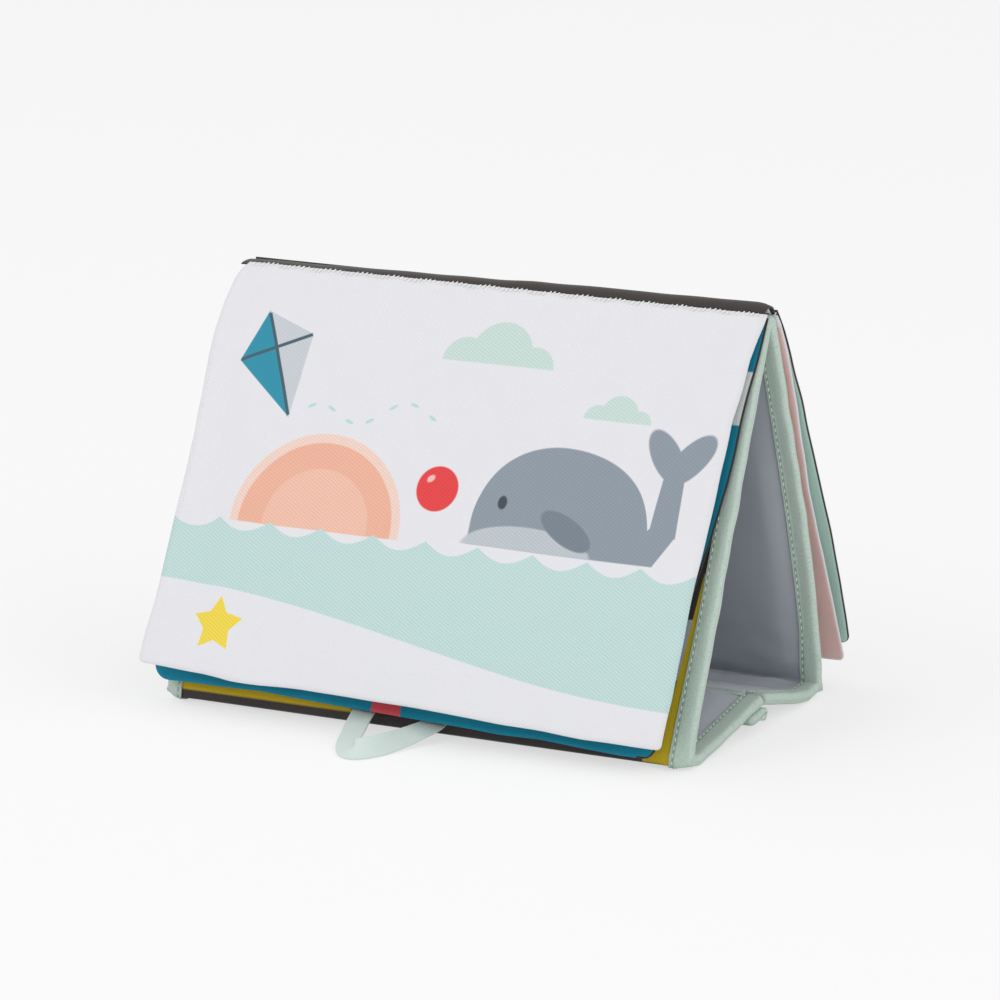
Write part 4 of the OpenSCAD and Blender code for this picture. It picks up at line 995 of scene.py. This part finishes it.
# Sewing thread: small rounded stitches along seam lines, made by one Geometry Nodes tree.
def stitchTree():
    tree = bpy.data.node_groups.new("stitches along seams", "GeometryNodeTree")
    socket = tree.interface.new_socket
    socket("Seams", in_out="INPUT", socket_type="NodeSocketGeometry")
    for label, value in (("Pitch", 0.0032), ("Stitch", 0.0022), ("Thread", 0.0006), ("Turn", 0.0), ("Loose", 0.0001)):
        socket(label, in_out="INPUT", socket_type="NodeSocketFloat").default_value = value
    socket("Thread cloth", in_out="INPUT", socket_type="NodeSocketMaterial")
    socket("Stitches", in_out="OUTPUT", socket_type="NodeSocketGeometry")
    given = addNode(tree, "NodeGroupInput")
    curve = addNode(tree, "GeometryNodeMeshToCurve", {"Mesh": given.outputs["Seams"]})
    points = addNode(tree, "GeometryNodeCurveToPoints", {
        "Curve": curve.outputs[0], "Length": given.outputs["Pitch"]}, mode="LENGTH")
    up = made(tree, "GeometryNodeInputNamedAttribute", {"Name": "threadUp"}, data_type="FLOAT_VECTOR")
    facing = addNode(tree, "FunctionNodeAxesToRotation", {
        "Primary Axis": points.outputs["Tangent"], "Secondary Axis": up},
        primary_axis="X", secondary_axis="Z").outputs[0]
    turn = made(tree, "ShaderNodeCombineXYZ", {"Z": given.outputs["Turn"]})
    spun = made(tree, "FunctionNodeRotateRotation", {"Rotation": facing, "Rotate By": turn}, rotation_space="LOCAL")
    stray = made(tree, "FunctionNodeRandomValue", {
        "Min": (-1, -1, -0.2), "Max": (1, 1, 0.2), "Seed": 7}, data_type="FLOAT_VECTOR")
    offset = made(tree, "ShaderNodeVectorMath", {0: stray, "Scale": given.outputs["Loose"]}, operation="SCALE")
    moved = made(tree, "GeometryNodeSetPosition", {"Geometry": points.outputs["Points"], "Offset": offset})
    ball = addNode(tree, "GeometryNodeMeshUVSphere", {"Segments": 6, "Rings": 5, "Radius": 0.5}).outputs["Mesh"]
    size = addNode(tree, "ShaderNodeCombineXYZ", {
        "X": given.outputs["Stitch"], "Y": given.outputs["Thread"], "Z": given.outputs["Thread"]}).outputs[0]
    stitch = made(tree, "GeometryNodeTransform", {"Geometry": ball, "Scale": size})
    placed = made(tree, "GeometryNodeInstanceOnPoints", {"Points": moved, "Instance": stitch, "Rotation": spun})
    real = made(tree, "GeometryNodeRealizeInstances", {"Geometry": placed})
    smoothed = made(tree, "GeometryNodeSetShadeSmooth", {"Geometry": real})
    done = made(tree, "GeometryNodeSetMaterial", {"Geometry": smoothed, "Material": given.outputs["Thread cloth"]})
    addNode(tree, "NodeGroupOutput", {"Stitches": done})
    return tree


seamTree = stitchTree()


# Each seam is a line of points (mm in the ridge's frame) with the direction that its cloth faces.
def sewSeams(name, seams, material, pitch, stitch, thread, turn=0.0, loose=0.05):
    verts, ups, edges = [], [], []
    for points, normals in seams:
        edges += [(len(verts) + i, len(verts) + i + 1) for i in range(len(points) - 1)]
        verts += place(points).tolist()
        ups += np.asarray(normals, float).tolist()
    mesh = bpy.data.meshes.new(name)
    mesh.from_pydata(verts, edges, [])
    threadUp = mesh.attributes.new("threadUp", "FLOAT_VECTOR", "POINT")
    threadUp.data.foreach_set("vector", np.asarray(ups, np.float32).ravel())
    line = linked(name + "_line", mesh)
    modifier = line.modifiers.new("stitches", "NODES")
    modifier.node_group = seamTree
    ids = {item.name: item.identifier for item in seamTree.interface.items_tree if item.in_out == "INPUT"}
    for label, value in (("Pitch", pitch / 1000), ("Stitch", stitch / 1000), ("Thread", thread / 1000),
                         ("Turn", math.radians(turn)), ("Loose", loose / 1000), ("Thread cloth", material)):
        modifier[ids[label]] = value
    graph = bpy.context.evaluated_depsgraph_get()
    sewn = bpy.data.meshes.new_from_object(line.evaluated_get(graph), preserve_all_data_layers=True, depsgraph=graph)
    line.modifiers.clear()
    bpy.data.objects.remove(line)
    spots = np.empty(len(sewn.vertices) * 3, np.float32)
    sewn.vertices.foreach_get("co", spots)
    kept = sewn.attributes.get("flatMm") or sewn.attributes.new("flatMm", "FLOAT_VECTOR", "POINT")
    kept.data.foreach_set("vector", spots * 1000)
    return linked(name, sewn)


sewing = {"pitch": 3.2, "stitch": 2.3, "thread": 0.7}
runs = np.arange(1.5, stripLength - 1.5, 1.0)
middle, normals = stripAt(runs)
seams = []
for side in (1, -1):
    narrow = tapeNarrow(runs)
    x = side * (tent["halfWidth"] - 3 - (tent["tapeWidth"] - binding["stitchIn"] - 3) * narrow)
    for face in (1, -1):
        height = face * (bound + 0.02) + edgeRoll(runs, x) + corner(runs) * (face > 0)
        seams.append((withX(x, middle + normals * height[:, None]), withX(np.zeros(len(runs)), normals * face)))
piece = sewSeams("binding_stitches", seams, threadMint, **sewing)
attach(piece, "root")


# A seam on a panel's face, from x and d in mm, just above its padded surface.
def panelSeam(panel, x, d, face=1, lift=0.05):
    inX = np.minimum(x - table(panel["left"], d), table(panel["right"], d) - x)
    inD = np.minimum(d + panel["lift"], table(panel["length"], x) - d)
    h = panelBend(panel, x, d) + face * (panelHalf(panel, d, inX, inD) + lift)
    spots = onPanel(panel, x, d, h) / 0.001 - shift
    s, c = math.sin(panel["lean"]), math.cos(panel["lean"])
    return spots, np.broadcast_to(face * np.array([0, panel["side"] * c, s]), spots.shape)


ridgeX, rearX = np.linspace(-113, 118.5, 300), np.linspace(-118, 118, 300)
seamD = np.linspace(36, 111, 90)
seamX = table(frontCover["left"], seamD) + 1.9 + 0.25 * np.sin(seamD / 4)
for name, panel, seam, slotName, body, sizes, turn, loose in (
        ("front_ridge_overlock", frontCover, panelSeam(frontCover, ridgeX, 0.1 + 0.3 * np.sin(ridgeX / 2.3), 1, 0.35),
         "white_cloth", "front_cover", (2.1, 2.4, 0.75), 52, 0.25),
        ("rear_ridge_overlock", rearCover, panelSeam(rearCover, rearX, rearX * 0 + 0.8, -1),
         "mint_cloth", "rear_cover", (2.4, 2.2, 0.8), 62, 0.2),
        ("closing_seam", frontCover, panelSeam(frontCover, seamX, seamD),
         "white_cloth", "front_cover", (2.6, 1.9, 0.55), 0, 0.05)):
    piece = sewSeams(name, [seam], threadWhite, *sizes, turn=turn, loose=loose)
    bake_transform(piece)
print("stitches made")

studio = {
    "world": 0.72, "floor": "#ffffff", "floorGlow": 0.62,
    "lamps": (("key", (-1.3, -2.3, 2.5), 2.0, 22), ("fill", (2.6, -1.0, 1.5), 1.8, 11)),
}


def seenBy(tree, *rays):
    paths = addNode(tree, "ShaderNodeLightPath")
    return maths(tree, "MAXIMUM", *[paths.outputs[f"Is {ray} Ray"] for ray in rays])


# A pale floor that keeps the object's soft shadow, plain even light and one stronger lamp.
def addStudio():
    bpy.ops.mesh.primitive_plane_add(size=14, location=(0, 3, 0))
    floor = bpy.context.object
    floor.name = "floor"
    material = bpy.data.materials.new("pale studio floor")
    tree = emptyTree(material)
    seen = seenBy(tree, "Camera", "Glossy", "Transmission")
    plain = addNode(tree, "ShaderNodeBsdfDiffuse", {"Color": srgb(studio["floor"])})
    glow = addNode(tree, "ShaderNodeEmission", {"Color": (1, 1, 1, 1), "Strength": 1.0})
    share = maths(tree, "MULTIPLY", seen, studio["floorGlow"])
    mixed = addNode(tree, "ShaderNodeMixShader", {0: share, 1: plain.outputs[0], 2: glow.outputs[0]})
    addNode(tree, "ShaderNodeOutputMaterial", {"Surface": mixed.outputs[0]})
    floor.data.materials.append(material)
    world = bpy.data.worlds.new("studio")
    scene.world = world
    tree = emptyTree(world)
    seen = seenBy(tree, "Camera", "Glossy")
    strength = made(tree, "ShaderNodeMapRange", {"Value": seen, "To Min": studio["world"], "To Max": 1.0})
    sky = addNode(tree, "ShaderNodeBackground", {"Color": (1, 1, 1, 1), "Strength": strength})
    addNode(tree, "ShaderNodeOutputWorld", {"Surface": sky.outputs[0]})
    for name, spot, size, power in studio["lamps"]:
        lamp = bpy.data.lights.new(name, "AREA")
        lamp.size, lamp.energy = size, power
        holder = linked(name, lamp)
        holder.location = spot
        holder.rotation_euler = (Vector((0, 0, 0.08)) - Vector(spot)).to_track_quat("-Z", "Y").to_euler()


addStudio()
scene.view_settings.view_transform = "Standard"
print("studio made")
